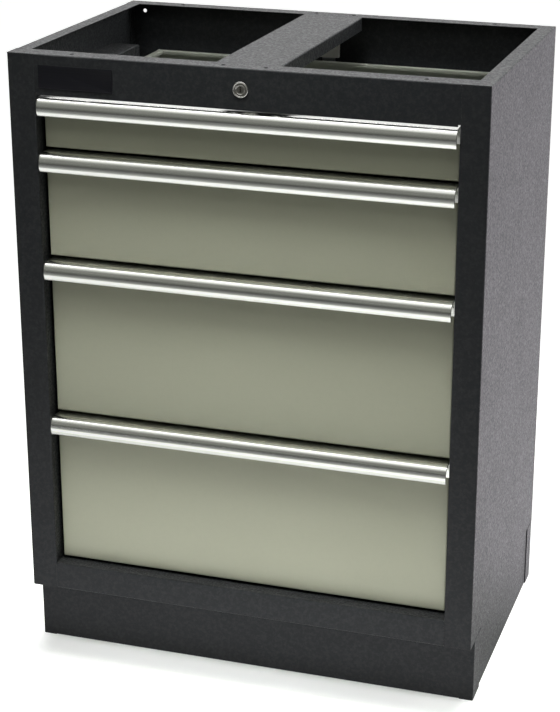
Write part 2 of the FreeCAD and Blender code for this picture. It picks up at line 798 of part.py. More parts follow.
def tray_piece(index):
    """The folded sheet of a tray: its floor and side walls, with rims turned inwards."""
    piece = new_piece(f"drawer_{index + 1}_tray")
    bottom, top = tray_bottom(index), tray_top(index)
    half, inner, round_in = TRAY_HALF, TRAY_INNER, TRAY_ROUND_IN
    rim_edge, lip_inner = f"({TRAY_HALF} - tray_rim)", f"({TRAY_HALF} - tray_rim + tray_sheet)"
    floor, under_rim, lip_end = f"{bottom} + tray_sheet", f"{top} - tray_sheet", f"{top} - tray_rim_lip"
    section = outline(
        (f"-{half}", bottom, "tray_round"), (half, bottom, "tray_round"), (half, top, "tray_round"),
        (rim_edge, top, "tray_round"), (rim_edge, lip_end), (lip_inner, lip_end),
        (lip_inner, under_rim, round_in), (inner, under_rim, round_in), (inner, floor, round_in),
        (f"-{inner}", floor, round_in), (f"-{inner}", under_rim, round_in),
        (f"-{lip_inner}", under_rim, round_in), (f"-{lip_inner}", lip_end), (f"-{rim_edge}", lip_end),
        (f"-{rim_edge}", top, "tray_round"), (f"-{half}", top, "tray_round"))
    add(piece, "XZ", FRONT_BACK, RIM_BACK, section)
    behind_rims = outline(
        (f"-{half}", bottom, "tray_round"), (half, bottom, "tray_round"), (half, top), (inner, top),
        (inner, floor, round_in), (f"-{inner}", floor, round_in), (f"-{inner}", top), (f"-{half}", top))
    add(piece, "XZ", RIM_BACK, TRAY_BACK, behind_rims)
    for side in SIDES:
        left, right = on_side(side, inner, half)
        cut(piece, "YZ", left, right, circles(rivet_centres([index]), "rivet_hole"))
    return piece


def tray_ends_piece(index):
    """The front and rear walls, welded between the side walls. The rear one has a rim too."""
    piece = new_piece(f"drawer_{index + 1}_tray_ends")
    bottom, top = tray_bottom(index), tray_top(index)
    inner, round_in = TRAY_INNER, TRAY_ROUND_IN
    floor, under_rim, lip_end = f"{bottom} + tray_sheet", f"{top} - tray_sheet", f"{top} - tray_rim_lip"
    wall = outline((f"-{inner}", floor, round_in), (inner, floor, round_in), (inner, lip_end),
                   (f"-{inner}", lip_end))
    wall_inside, rear_lip = f"{TRAY_BACK} - tray_sheet", f"{RIM_BACK} + tray_sheet"
    add(piece, "XZ", wall_inside, TRAY_BACK, wall)
    rim = outline(
        (wall_inside, lip_end), (TRAY_BACK, lip_end), (TRAY_BACK, top, "tray_round"),
        (RIM_BACK, top, "tray_round"), (RIM_BACK, lip_end), (rear_lip, lip_end),
        (rear_lip, under_rim, round_in), (wall_inside, under_rim, round_in))
    add(piece, "YZ", f"-{inner}", inner, rim)
    add(piece, "XZ", FRONT_BACK, f"{FRONT_BACK} + tray_sheet", wall)
    screw_holes = circles(front_screw_centres(index), "screw_hole")
    cut(piece, "XZ", FRONT_BACK, f"{FRONT_BACK} + tray_sheet", screw_holes)
    return piece


def drawer_front_piece(index):
    """The front: a shallow pan with rounded front edges, hollow behind, with two back lips."""
    piece = new_piece(f"drawer_{index + 1}_front")
    bottom, top = front_bottom(index), f"{grip_top(index)} - grip_wall"
    block = add(piece, "XZ", "front_setback", FRONT_BACK,
                rectangle(f"-{FRONT_HALF}", FRONT_HALF, bottom, top))
    doc.recompute()
    face_place = number_of("front_setback")
    front_edges = []
    for number, edge in enumerate(block.Shape.Edges, 1):
        if all(abs(vertex.Point.y - face_place) < CLEARLY_SMALLER for vertex in edge.Vertexes):
            front_edges.append(f"Edge{number}")
    softened = piece.newObject("PartDesign::Fillet", f"{piece.Label}_fillet")
    softened.Base = (block, front_edges)
    softened.setExpression("Radius", bound("front_round"))
    piece.Tip = softened
    hollow_half = f"({FRONT_HALF} - front_sheet)"
    low, high = f"{bottom} + front_sheet", f"{top} - front_sheet"
    back_skin = f"{FRONT_BACK} - front_sheet"
    cut(piece, "XZ", "front_setback + front_sheet", back_skin,
        rectangle(f"-{hollow_half}", hollow_half, low, high))
    window_half = f"({FRONT_HALF} - front_lip)"
    cut(piece, "XZ", back_skin, FRONT_BACK, rectangle(f"-{window_half}", window_half, low, high))
    grip_holes = circles(grip_screw_centres(index), "screw_hole")
    cut(piece, "XZ", "front_setback", "front_setback + front_sheet", grip_holes)
    lip_holes = circles(front_screw_centres(index), "screw_hole")
    cut(piece, "XZ", back_skin, FRONT_BACK, lip_holes)
    return piece


def grip_piece(index):
    """The full-width grip: a curved nose, a flat top over the front and a web against it."""
    piece = new_piece(f"drawer_{index + 1}_grip")
    top = grip_top(index)
    nose_y = "(nose_radius - grip_proud)"
    nose_z = f"({top} - grip_height + nose_radius * sin(nose_low * 1 deg))"
    high_cos, high_sin = "cos(nose_high * 1 deg)", "sin(nose_high * 1 deg)"
    low_cos, low_sin = "cos(nose_low * 1 deg)", "sin(nose_low * 1 deg)"
    crown = f"((grip_height - nose_radius * ({low_sin} + {high_sin})) / (1 - {high_sin}))"
    crown_y = f"({nose_y} - (nose_radius - {crown}) * {high_cos})"
    inner_nose, inner_crown = "(nose_radius - grip_wall)", f"({crown} - grip_wall)"

    def on_nose(radius, cosine, sine, sign):
        return f"{nose_y} - {radius} * {cosine}", f"{nose_z} {sign} {radius} * {sine}"

    web_front = "front_setback - grip_wall"
    under_top, web_bottom = f"{top} - grip_wall", f"{top} - grip_wall - grip_web"
    points = [
        (*on_nose("nose_radius", low_cos, low_sin, "-"), ("nose_radius", False)),
        (*on_nose("nose_radius", high_cos, high_sin, "+"), (crown, False)),
        (crown_y, top, None),
        ("front_setback + grip_cover", top, None),
        ("front_setback + grip_cover", under_top, None),
        ("front_setback", under_top, None),
        ("front_setback", web_bottom, None),
        (web_front, web_bottom, None),
        (web_front, under_top, None),
        (crown_y, under_top, (inner_crown, True)),
        (*on_nose(inner_nose, high_cos, high_sin, "+"), (inner_nose, True)),
        (*on_nose(inner_nose, low_cos, low_sin, "-"), None)]
    half = f"({OPEN_HALF} - grip_side_gap)"
    add(piece, "YZ", f"-{half}", half, lambda sketch: draw_outline(sketch, points))
    cut(piece, "XZ", web_front, "front_setback", circles(grip_screw_centres(index), "screw_hole"))
    return piece


def drawer_fasteners_piece(index):
    """Rivets for the inner slide members, and screws for the front and for the grip."""
    piece = new_piece(f"drawer_{index + 1}_fasteners")
    for side in SIDES:
        add_rivets(piece, side, TRAY_INNER, f"{TRAY_HALF} + slide_sheet", [index])
    front = front_screw_centres(index)
    head_place = f"{FRONT_BACK} + tray_sheet"
    add(piece, "XZ", head_place, f"{head_place} + screw_head_height", circles(front, "screw_head"))
    add(piece, "XZ", f"{FRONT_BACK} - front_sheet", head_place, circles(front, "screw"))
    grip = grip_screw_centres(index)
    head_place = "front_setback + front_sheet"
    add(piece, "XZ", head_place, f"{head_place} + screw_head_height", circles(grip, "screw_head"))
    add(piece, "XZ", "front_setback - grip_wall", head_place, circles(grip, "screw"))
    return piece


# The lock: its plug turns a rod that runs under the brace to the back, where a crank pin
# lifts the bar. The fingers of the bar then stand before the tips of the drawers' catches.

BAR_FRONT = f"({BACK_INSIDE} - bar_back_gap - bar_thickness)"
BAR_BACK = f"({BACK_INSIDE} - bar_back_gap)"
ROD_END = "(depth - rod_back)"
PIN_SIDE = "(crank_radius * cos(crank_turn * 1 deg))"
PIN_REST = f"({LOCK_HEIGHT} - crank_radius * sin(crank_turn * 1 deg))"
BAR_LEFT = "(-bar_offset - bar_width / 2)"
BAR_RIGHT = "(-bar_offset + bar_width / 2)"


def catch_height(index):
    """The underside of a catch's arm."""
    return f"({tray_top(index)} - catch_drop)"


def finger_top(index):
    """The top of the finger under a catch, while the drawers are free."""
    return f"({catch_height(index)} - catch_tip - finger_rest_gap)"


def catch_piece(index):
    """A bracket on the back of the tray: an arm to the rear with a tip turned down."""
    piece = new_piece(f"drawer_{index + 1}_catch")
    arm, over = catch_height(index), f"{catch_height(index)} + catch_sheet"
    foot_end = f"{arm} - catch_foot"
    reach = f"{TRAY_BACK} + catch_reach"
    section = outline(
        (TRAY_BACK, foot_end), (TRAY_BACK, over), (reach, over), (reach, f"{arm} - catch_tip"),
        (f"{reach} - catch_sheet", f"{arm} - catch_tip"), (f"{reach} - catch_sheet", arm),
        (f"{TRAY_BACK} + catch_sheet", arm), (f"{TRAY_BACK} + catch_sheet", foot_end))
    add(piece, "YZ", "-bar_offset - catch_width / 2", "-bar_offset + catch_width / 2", section)
    return piece


def lock_bar_piece():
    """The upright bar at the back, with a slot for the crank pin."""
    piece = new_piece("lock_bar")
    last = len(DRAWER_UNITS) - 1
    bottom = f"{finger_top(last)} - finger_height - bar_tail"
    add(piece, "XZ", BAR_FRONT, BAR_BACK,
        rectangle(BAR_LEFT, BAR_RIGHT, bottom, f"{PIN_REST} + bar_head"))
    slot_left = "-crank_radius - crank_pin - pin_gap"
    slot_right = f"-{PIN_SIDE} + crank_pin + pin_gap"
    slot_low, slot_high = f"{PIN_REST} - crank_pin - pin_gap", f"{PIN_REST} + crank_pin + pin_gap"
    cut(piece, "XZ", BAR_FRONT, BAR_BACK, rectangle(slot_left, slot_right, slot_low, slot_high))
    return piece


def lock_bar_fingers_piece():
    """One hook per drawer, welded on the front of the bar."""
    piece = new_piece("lock_bar_fingers")
    finger_back = f"{TRAY_BACK} + catch_reach - catch_sheet - finger_play"
    finger_front = f"{finger_back} - finger_thickness"
    for index in range(len(DRAWER_UNITS)):
        top = finger_top(index)
        arm_top, arm_bottom = f"{top} - finger_height", f"{top} - finger_height - bar_thickness"
        hook = outline(
            (finger_front, arm_bottom), (finger_front, top), (finger_back, top),
            (finger_back, arm_top), (BAR_FRONT, arm_top), (BAR_FRONT, arm_bottom))
        add(piece, "YZ", BAR_LEFT, BAR_RIGHT, hook)
    return piece


def guide_places():
    """The middle height of each guide: under the slot and between the fingers."""
    places = [f"{PIN_REST} - guide_height"]
    for index in range(1, len(DRAWER_UNITS) - 1):
        places.append(f"({finger_top(index)} + {finger_top(index + 1)}) / 2")
    return places


def lock_bar_guides_piece():
    """Guide blocks on the back panel; the bar slides through their slots."""
    piece = new_piece("lock_bar_guides")
    front = f"{BAR_FRONT} - guide_skin - guide_slot_gap"
    left, right = f"{BAR_LEFT} - guide_wall", f"{BAR_RIGHT} + guide_wall"
    for middle in guide_places():
        low, high = f"{middle} - guide_height / 2", f"{middle} + guide_height / 2"
        add(piece, "XY", low, high, rectangle(left, right, front, BACK_INSIDE))
        slot = rectangle(f"{BAR_LEFT} - guide_slot_gap", f"{BAR_RIGHT} + guide_slot_gap",
                         f"{BAR_FRONT} - guide_slot_gap", f"{BAR_BACK} + guide_slot_gap")
        cut(piece, "XY", low, high, slot)
    return piece


def lock_barrel_piece():
    """The fixed part of the lock: a ring in front of the rail and a body through it."""
    piece = new_piece("lock_barrel")
    centre = [("0", LOCK_HEIGHT)]
    add(piece, "XZ", "-lock_ring_height", "0", circles(centre, "lock_ring"))
    add(piece, "XZ", "0", "lock_body_length", circles(centre, "lock_body"))
    bore = circles(centre, "plug + running_gap")
    cut(piece, "XZ", "-lock_ring_height", "lock_body_length", bore)
    return piece


def lock_nut_piece():
    """The six-sided nut that clamps the barrel from behind the rail."""
    piece = new_piece("lock_nut")
    corners = []
    for number in range(6):
        angle = f"({60 * number} * 1 deg)"
        x, z = f"lock_nut * cos{angle}", f"{LOCK_HEIGHT} + lock_nut * sin{angle}"
        corners.append((x, z, None))
    end = "sheet + lock_nut_height"
    add(piece, "XZ", "sheet", end, lambda sketch: draw_outline(sketch, corners))
    cut(piece, "XZ", "sheet", end, circles([("0", LOCK_HEIGHT)], "lock_body + running_gap"))
    return piece


def lock_plug_piece():
    """The part that turns with the key, set a little into the ring, with its keyway."""
    piece = new_piece("lock_plug")
    face = "plug_recess - lock_ring_height"
    add(piece, "XZ", face, "lock_body_length", circles([("0", LOCK_HEIGHT)], "plug"))
    slot = rectangle("-keyway_width / 2", "keyway_width / 2",
                     f"{LOCK_HEIGHT} - keyway_height / 2", f"{LOCK_HEIGHT} + keyway_height / 2")
    cut(piece, "XZ", face, f"{face} + keyway_depth", slot)
    return piece


def lock_rod_piece():
    """The rod from the plug to the back, with the crank and its pin."""
    piece = new_piece("lock_rod")
    centre = [("0", LOCK_HEIGHT)]
    add(piece, "XZ", "lock_body_length", ROD_END, circles(centre, "rod"))
    crank_end = f"{ROD_END} + crank_thickness"
    add(piece, "XZ", ROD_END, crank_end, circles(centre, "crank_hub"))
    pin = [(f"-{PIN_SIDE}", PIN_REST)]
    add(piece, "XZ", ROD_END, crank_end, circles(pin, "crank_end"))
    across_x, across_z = "crank_end * sin(crank_turn * 1 deg)", "crank_end * cos(crank_turn * 1 deg)"
    arm = [
        (f"-{across_x}", f"{LOCK_HEIGHT} + {across_z}", None),
        (f"-{PIN_SIDE} - {across_x}", f"{PIN_REST} + {across_z}", None),
        (f"-{PIN_SIDE} + {across_x}", f"{PIN_REST} - {across_z}", None),
        (across_x, f"{LOCK_HEIGHT} - {across_z}", None)]
    add(piece, "XZ", ROD_END, crank_end, lambda sketch: draw_outline(sketch, arm))
    add(piece, "XZ", crank_end, f"{BAR_BACK} + crank_pin_end", circles(pin, "crank_pin"))
    return piece


def rod_hanger_piece():
    """The bracket under the brace that carries the rear end of the rod."""
    piece = new_piece("rod_hanger")
    back = f"{ROD_END} - hanger_gap"
    front = f"{back} - hanger_sheet"
    foot_top, foot_bottom = TAB_BOTTOM, f"{TAB_BOTTOM} - hanger_sheet"
    low = f"{LOCK_HEIGHT} - hanger_below"
    section = outline(
        (back, low), (back, foot_top), (f"{back} - hanger_foot", foot_top),
        (f"{back} - hanger_foot", foot_bottom), (front, foot_bottom), (front, low))
    add(piece, "YZ", "-hanger_width / 2", "hanger_width / 2", section)
    cut(piece, "XZ", front, back, circles([("0", LOCK_HEIGHT)], "rod + running_gap"))
    return piece


def badge_plate_piece():
    """The bare plate at the left of the top rail."""
    piece = new_piece("badge_plate")
    left = f"badge_left - {HALF}"
    top = "height - badge_drop"
    corners = [(left, top), (f"{left} + badge_width", top),
               (f"{left} + badge_width", f"{top} - badge_height"), (left, f"{top} - badge_height")]
    rounded = [(*corner, "badge_round") for corner in corners]
    add(piece, "XZ", "-badge_thickness", "0", outline(*rounded))
    return piece


def build_casing():
    pieces = [side_panel("side_panel_left", -1), side_panel("side_panel_right", 1)]
    pieces += [top_rail_piece(), bottom_rail_piece(), back_panel_piece(), floor_pan_piece()]
    pieces += [cross_brace_piece(), badge_plate_piece()]
    pieces += [plinth_front_piece(), plinth_rear_piece(), plinth_screws_piece()]
    pieces += [plinth_side_piece("plinth_left", -1), plinth_side_piece("plinth_right", 1)]
    pieces += [runner_carrier("runner_carrier_left", -1), runner_carrier("runner_carrier_right", 1)]
    pieces += [carrier_rivets_piece()]
    return pieces


def build_lock():
    pieces = [lock_barrel_piece(), lock_nut_piece(), lock_plug_piece(), lock_rod_piece()]
    pieces += [rod_hanger_piece(), lock_bar_piece(), lock_bar_fingers_piece()]
    pieces += [lock_bar_guides_piece()]
    return pieces


def build_drawer(index):
    pieces = [tray_piece(index), tray_ends_piece(index), drawer_front_piece(index), grip_piece(index)]
    pieces += [slide_outer(index), slide_middle(index), slide_inner(index)]
    pieces += [catch_piece(index), drawer_fasteners_piece(index)]
    return pieces


def check_features():
    """Stop if anything failed to build, or if a cut took nothing away."""
    for thing in doc.Objects:
        if "Invalid" in thing.State or "Error" in thing.State:
            raise RuntimeError(f"{thing.Label} did not build")
        if thing.TypeId == "PartDesign::Pocket":
            taken = thing.BaseFeature.Shape.Volume - thing.Shape.Volume
            if taken < CLEARLY_SMALLER:
                raise RuntimeError(f"{thing.Label} cuts nothing")


def write_pieces(pieces):
    """Write one file per piece, once every shape is known to be whole."""
    for piece in pieces:
        shape = piece.Shape
        if shape.isNull() or not shape.isValid() or not shape.Solids:
            raise RuntimeError(f"{piece.Label} has no valid shape")
    os.makedirs("parts", exist_ok=True)
    for piece in pieces:
        piece.Shape.exportStep(f"parts/{piece.Label}.step")
        print(f"{piece.Label}: {len(piece.Shape.Solids)} solids, {piece.Shape.Volume / 1000:.1f} cm3")


def main():
    pieces = build_casing() + build_lock()
    for index in range(len(DRAWER_UNITS)):
        pieces += build_drawer(index)
    doc.recompute()
    check_features()
    write_pieces(pieces)
    print(len(pieces), "pieces")


main()
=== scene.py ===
# %% [markdown]
# # A steel tool cabinet in a plain studio
#
# The cabinet comes from its construction model: every sheet, slide and lock part is already
# there, at its real size, as a named node. This lesson gives those nodes their finishes and
# makes again, with finer shapes, the few pieces whose looks depend on small radii: the grips,
# the lock, the badge plate, the screws and the rivets. Everything is in metres, and a finished
# piece stays where its node is.

# %% Load the frame
import json
import math

import bmesh
import bpy
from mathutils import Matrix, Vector


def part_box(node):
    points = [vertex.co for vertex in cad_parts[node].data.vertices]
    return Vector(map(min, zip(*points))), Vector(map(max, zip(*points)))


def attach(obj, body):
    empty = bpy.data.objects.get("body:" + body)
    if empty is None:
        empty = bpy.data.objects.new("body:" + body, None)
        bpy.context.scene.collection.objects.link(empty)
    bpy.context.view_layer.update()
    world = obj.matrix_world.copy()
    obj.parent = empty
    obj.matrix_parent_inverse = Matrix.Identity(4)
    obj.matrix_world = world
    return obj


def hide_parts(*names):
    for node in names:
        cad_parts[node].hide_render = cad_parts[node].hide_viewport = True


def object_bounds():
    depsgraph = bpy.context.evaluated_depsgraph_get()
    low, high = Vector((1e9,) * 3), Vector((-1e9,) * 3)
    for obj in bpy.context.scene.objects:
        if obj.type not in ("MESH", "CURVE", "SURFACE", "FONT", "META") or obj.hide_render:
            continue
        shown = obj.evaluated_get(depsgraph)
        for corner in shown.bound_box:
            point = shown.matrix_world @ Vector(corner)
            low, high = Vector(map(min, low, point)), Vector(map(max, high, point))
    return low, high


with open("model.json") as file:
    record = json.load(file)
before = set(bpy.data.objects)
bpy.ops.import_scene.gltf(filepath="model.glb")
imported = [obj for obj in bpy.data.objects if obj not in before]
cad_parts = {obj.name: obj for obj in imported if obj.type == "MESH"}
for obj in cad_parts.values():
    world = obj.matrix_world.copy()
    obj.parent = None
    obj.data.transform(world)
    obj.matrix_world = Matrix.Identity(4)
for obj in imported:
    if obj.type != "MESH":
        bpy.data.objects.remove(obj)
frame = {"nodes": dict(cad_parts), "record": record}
cad_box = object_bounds()
MM = 0.001
DRAWERS = (1, 2, 3, 4)
LOW, HIGH = cad_box
print("cabinet", [round(side, 3) for side in HIGH - LOW])

# %% [markdown]
# ## The camera
#
# The picture was taken with a long lens from the right of the cabinet, a little above its top.
# Azimuth turns the camera round the cabinet and elevation lifts it. The eye's place and the
# angles came from matching the cabinet's corners with the picture, and a small lens shift puts
# the cabinet where the picture has it. A turn about the line of sight of half a degree is what
# a tripod on an uneven floor gives.

# %% Camera
PICTURE_WIDTH, PICTURE_HEIGHT = 560, 712
CAMERA_EYE = Vector((0.8171, -2.5255, 1.4104))
CAMERA_AZIMUTH = math.radians(16.42)
CAMERA_ELEVATION = math.radians(19.89)
CAMERA_ROLL = math.radians(0.59)
FOCAL_PIXELS = 1860.8
SHIFT_PIXELS = (58.0, -13.5)
SENSOR = 36.0


def new_object(name, data):
    """An object for a camera, a lamp or a mesh, in the scene."""
    thing = bpy.data.objects.new(name, data)
    bpy.context.scene.collection.objects.link(thing)
    return thing


def make_camera():
    """A camera that looks at the cabinet as the picture does."""
    data = bpy.data.cameras.new("picture_camera")
    camera = new_object("picture_camera", data)
    bpy.context.scene.camera = camera
    back = Vector((math.sin(CAMERA_AZIMUTH) * math.cos(CAMERA_ELEVATION),
                   -math.cos(CAMERA_AZIMUTH) * math.cos(CAMERA_ELEVATION),
                   math.sin(CAMERA_ELEVATION)))
    right = Vector((math.cos(CAMERA_AZIMUTH), math.sin(CAMERA_AZIMUTH), 0.0))
    up = back.cross(right)
    right, up = (right * math.cos(CAMERA_ROLL) + up * math.sin(CAMERA_ROLL),
                 up * math.cos(CAMERA_ROLL) - right * math.sin(CAMERA_ROLL))
    turned = camera.matrix_world.to_3x3()
    for row in range(3):
        turned[row][0], turned[row][1], turned[row][2] = right[row], up[row], back[row]
    camera.matrix_world = turned.to_4x4()
    camera.location = CAMERA_EYE
    longer_side = max(PICTURE_WIDTH, PICTURE_HEIGHT)
    data.sensor_width = SENSOR
    data.lens = FOCAL_PIXELS * SENSOR / longer_side
    data.shift_x = -SHIFT_PIXELS[0] / longer_side
    data.shift_y = SHIFT_PIXELS[1] / longer_side
    print("lens", round(data.lens, 1), "mm")
    return camera


make_camera()

# %% [markdown]
# ## Small helpers for node trees
#
# A node tree in a script is readable when adding a node, setting its values and joining it to
# the next one take one line each. The first helpers serve the materials and Geometry Nodes
# alike, and the later ones name what the materials ask for again and again.


# %% Node helpers
def add_node(tree, kind, **settings):
    """Add a node; settings are its properties."""
    node = tree.nodes.new(kind)
    for name, value in settings.items():
        setattr(node, name, value)
    return node


def feed(tree, node, **inputs):
    """Set a node's inputs by name, or by number as in0: a socket is linked, the rest is a value."""
    for name, value in inputs.items():
        socket = node.inputs[int(name[2:]) if name.startswith("in") else name.replace("_", " ")]
        if isinstance(value, bpy.types.NodeSocket):
            tree.links.new(value, socket)
        else:
            socket.default_value = value
    return node


# %% Numbers in a tree
def maths(tree, operation, first, second=None, clamp=False):
    """The result of a Math node."""
    node = add_node(tree, "ShaderNodeMath", operation=operation, use_clamp=clamp)
    feed(tree, node, in0=first)
    if second is not None:
        feed(tree, node, in1=second)
    return node.outputs[0]


def times(tree, first, second):
    """Two values multiplied."""
    return maths(tree, "MULTIPLY", first, second)


def remap(tree, value, low, high, to_low=0.0, to_high=1.0):
    """A value smoothly carried from one range to another."""
    node = add_node(tree, "ShaderNodeMapRange", interpolation_type="SMOOTHSTEP")
    feed(tree, node, in0=value, in1=low, in2=high, in3=to_low, in4=to_high)
    return node.outputs[0]


def ramp(tree, value, steps):
    """A value read off a line through given steps, each a pair of input and output."""
    low, high = steps[0][0], steps[-1][0]
    share = maths(tree, "DIVIDE", maths(tree, "SUBTRACT", value, low), high - low, clamp=True)
    node = add_node(tree, "ShaderNodeValToRGB")
    stops = node.color_ramp.elements
    while len(stops) < len(steps):
        stops.new(0.5)
    for stop, (place, level) in zip(stops, steps):
        stop.position = (place - low) / (high - low)
        stop.color = (level, level, level, 1.0)
    feed(tree, node, in0=share)
    return node.outputs["Color"]


# %% Colours in a tree
def mixed_colour(tree, factor, first, second):
    """Two colours mixed by a factor."""
    node = add_node(tree, "ShaderNodeMix", data_type="RGBA")
    return feed(tree, node, in0=factor, in6=first, in7=second).outputs[2]


def colour(red, green, blue):
    """A colour with full opacity."""
    return (red, green, blue, 1.0)


def shaded(tint, share):
    """A colour made darker by a share."""
    return colour(*(share * part for part in tint[:3]))


# %% Places, directions and noises
def split(tree, vector):
    """The X, Y and Z outputs of a vector."""
    return feed(tree, add_node(tree, "ShaderNodeSeparateXYZ"), in0=vector).outputs


def object_place(tree):
    """Where a point of the surface lies, in metres on the cabinet itself."""
    return add_node(tree, "ShaderNodeTexCoord").outputs["Object"]


def facing_of(tree):
    """The X, Y and Z outputs of the direction in which the surface faces."""
    return split(tree, add_node(tree, "ShaderNodeNewGeometry").outputs["Normal"])


def noise(tree, where, scale, **more):
    """The values of a noise; scale is in patches per metre."""
    return feed(tree, add_node(tree, "ShaderNodeTexNoise"), Vector=where, Scale=scale, **more).outputs[0]


# %% Groups
def new_group(name, inputs, outputs, kind="ShaderNodeTree"):
    """A node group with named sockets; returns the tree, its input node and its output node."""
    tree = bpy.data.node_groups.new(name, kind)
    for socket_name, socket_type, value in inputs:
        socket = tree.interface.new_socket(socket_name, in_out="INPUT", socket_type=socket_type)
        if value is not None:
            socket.default_value = value
    for socket_name, socket_type in outputs:
        tree.interface.new_socket(socket_name, in_out="OUTPUT", socket_type=socket_type)
    return tree, tree.nodes.new("NodeGroupInput"), tree.nodes.new("NodeGroupOutput")


def new_effect(name, inputs, *outputs):
    """A shader group whose inputs are plain numbers; outputs are names, Normal for a direction."""
    sockets = [(title, "NodeSocketFloat", value) for title, value in inputs.items()]
    kinds = [(title, "NodeSocketVector" if title == "Normal" else "NodeSocketFloat") for title in outputs]
    return new_group(name, sockets, kinds)


def place_group(tree, group, **inputs):
    """Place a group in a material with its own values; returns its outputs."""
    node = add_node(tree, "ShaderNodeGroup", node_tree=group)
    return feed(tree, node, **inputs).outputs


# %% [markdown]
# ## Effects that several finishes share
#
# Each effect is one shader group with named inputs, so that every finish sets only its own
# numbers. All of them read Object coordinates, which are metres on the cabinet itself, so a
# pattern has its real scale and stays on its piece when a drawer moves.
#
# - Powder grain: baked powder paint has a pebbled skin, a millimetre or two from bump to bump,
#   tiny paler flecks, and points that sparkle. Two noises give the height, a third the flecks
#   and a fourth the sparkle.
# - Brushed grain: rolled or extruded metal carries fine lines along its length, which is one
#   noise stretched about two hundred times along that direction.
# - Handling: a wide, soft noise makes patches a little duller, as hands and cloths do.
# - Worn edge: the Bevel node rounds the normal near an edge. Where it differs from the true
#   normal there is an edge, and that difference is a mask for wear.
# - Settled dust: more dust lies where a face looks up.


# %% Powder grain
# The coarser patterns of a powder coat, as shares of the pebbles' own frequency
SWELL_FREQUENCY, SPOT_FREQUENCY, SPARKLE_FREQUENCY = 0.31, 0.45, 0.8
SWELL_HEIGHT = 0.8
SPOT_RANGE = (0.42, 0.66)


def powder_grain_group():
    """Height, flecks and sparkle of a baked powder coat."""
    tree, inside, outside = new_effect("powder_grain", {"Grain size": 1.2 * MM, "Flecks": 0.5},
                                       "Height", "Fleck", "Sparkle")
    where = object_place(tree)
    scale = maths(tree, "DIVIDE", 1.0, inside.outputs["Grain size"])
    pebbles = noise(tree, where, scale, Detail=2.0)
    swells = noise(tree, where, times(tree, scale, SWELL_FREQUENCY), Detail=1.0)
    spots = noise(tree, where, times(tree, scale, SPOT_FREQUENCY), Detail=3.0, Roughness=0.7)
    sparkle = noise(tree, where, times(tree, scale, SPARKLE_FREQUENCY), Detail=1.0)
    height = maths(tree, "ADD", pebbles, times(tree, swells, SWELL_HEIGHT))
    fleck = times(tree, remap(tree, spots, *SPOT_RANGE), inside.outputs["Flecks"])
    feed(tree, outside, Height=height, Fleck=fleck, Sparkle=sparkle)
    return tree


# %% Brushed grain
BAND_FREQUENCY = 0.15


def brushed_grain_group():
    """Height and streaks of metal brushed along the cabinet's width."""
    tree, inside, outside = new_effect("brushed_grain", {"Line width": 0.3 * MM, "Stretch": 0.01},
                                       "Height", "Streak")
    scale = maths(tree, "DIVIDE", 1.0, inside.outputs["Line width"])
    stretched = add_node(tree, "ShaderNodeCombineXYZ")
    feed(tree, stretched, X=inside.outputs["Stretch"], Y=1.0, Z=1.0)
    along = add_node(tree, "ShaderNodeVectorMath", operation="MULTIPLY")
    feed(tree, along, in0=object_place(tree), in1=stretched.outputs[0])
    lines = noise(tree, along.outputs[0], scale, Detail=4.0)
    bands = noise(tree, along.outputs[0], times(tree, scale, BAND_FREQUENCY), Detail=2.0)
    feed(tree, outside, Height=lines, Streak=bands)
    return tree


# %% Handling
PATCH_RANGE = (0.38, 0.7)


def handling_group():
    """A mask of patches made duller by hands."""
    tree, inside, outside = new_effect("handling", {"Patch size": 60 * MM}, "Mask")
    scale = maths(tree, "DIVIDE", 1.0, inside.outputs["Patch size"])
    patches = noise(tree, object_place(tree), scale, Detail=4.0, Roughness=0.6, Distortion=0.4)
    feed(tree, outside, Mask=remap(tree, patches, *PATCH_RANGE))
    return tree


# %% Worn edge
# How alike the rounded and the true normal are where no edge is, and on an edge
NO_EDGE, FULL_EDGE = 0.995, 0.9
SCUFF_FREQUENCY, SCUFF_RANGE = 90.0, (0.45, 0.62)


def worn_edge_group():
    """A rounded normal near edges, and a mask of where the edges are."""
    tree, inside, outside = new_effect("worn_edge", {"Radius": 0.8 * MM, "Break up": 0.6}, "Mask", "Normal")
    rounded = add_node(tree, "ShaderNodeBevel", samples=4)
    feed(tree, rounded, Radius=inside.outputs["Radius"])
    true_normal = add_node(tree, "ShaderNodeNewGeometry").outputs["Normal"]
    alike = add_node(tree, "ShaderNodeVectorMath", operation="DOT_PRODUCT")
    feed(tree, alike, in0=rounded.outputs[0], in1=true_normal)
    edge = remap(tree, alike.outputs["Value"], NO_EDGE, FULL_EDGE)
    scuffs = noise(tree, object_place(tree), SCUFF_FREQUENCY, Detail=5.0)
    unbroken = maths(tree, "SUBTRACT", 1.0, remap(tree, scuffs, *SCUFF_RANGE))
    kept = maths(tree, "SUBTRACT", 1.0, times(tree, inside.outputs["Break up"], unbroken))
    feed(tree, outside, Mask=times(tree, edge, kept), Normal=rounded.outputs[0])
    return tree


# %% Settled dust
LOOKS_UP = (0.6, 1.0)
CLOUD_FREQUENCY, CLOUD_RANGE, THINNEST_DUST = 14.0, (0.3, 0.7), 0.4


def settled_dust_group():
    """A mask of dust on faces that look up."""
    tree, inside, outside = new_effect("settled_dust", {"Amount": 0.2}, "Mask")
    upward = remap(tree, facing_of(tree)["Z"], *LOOKS_UP)
    cloud = noise(tree, object_place(tree), CLOUD_FREQUENCY, Detail=6.0)
    uneven = remap(tree, cloud, *CLOUD_RANGE, THINNEST_DUST, 1.0)
    feed(tree, outside, Mask=times(tree, times(tree, upward, inside.outputs["Amount"]), uneven))
    return tree


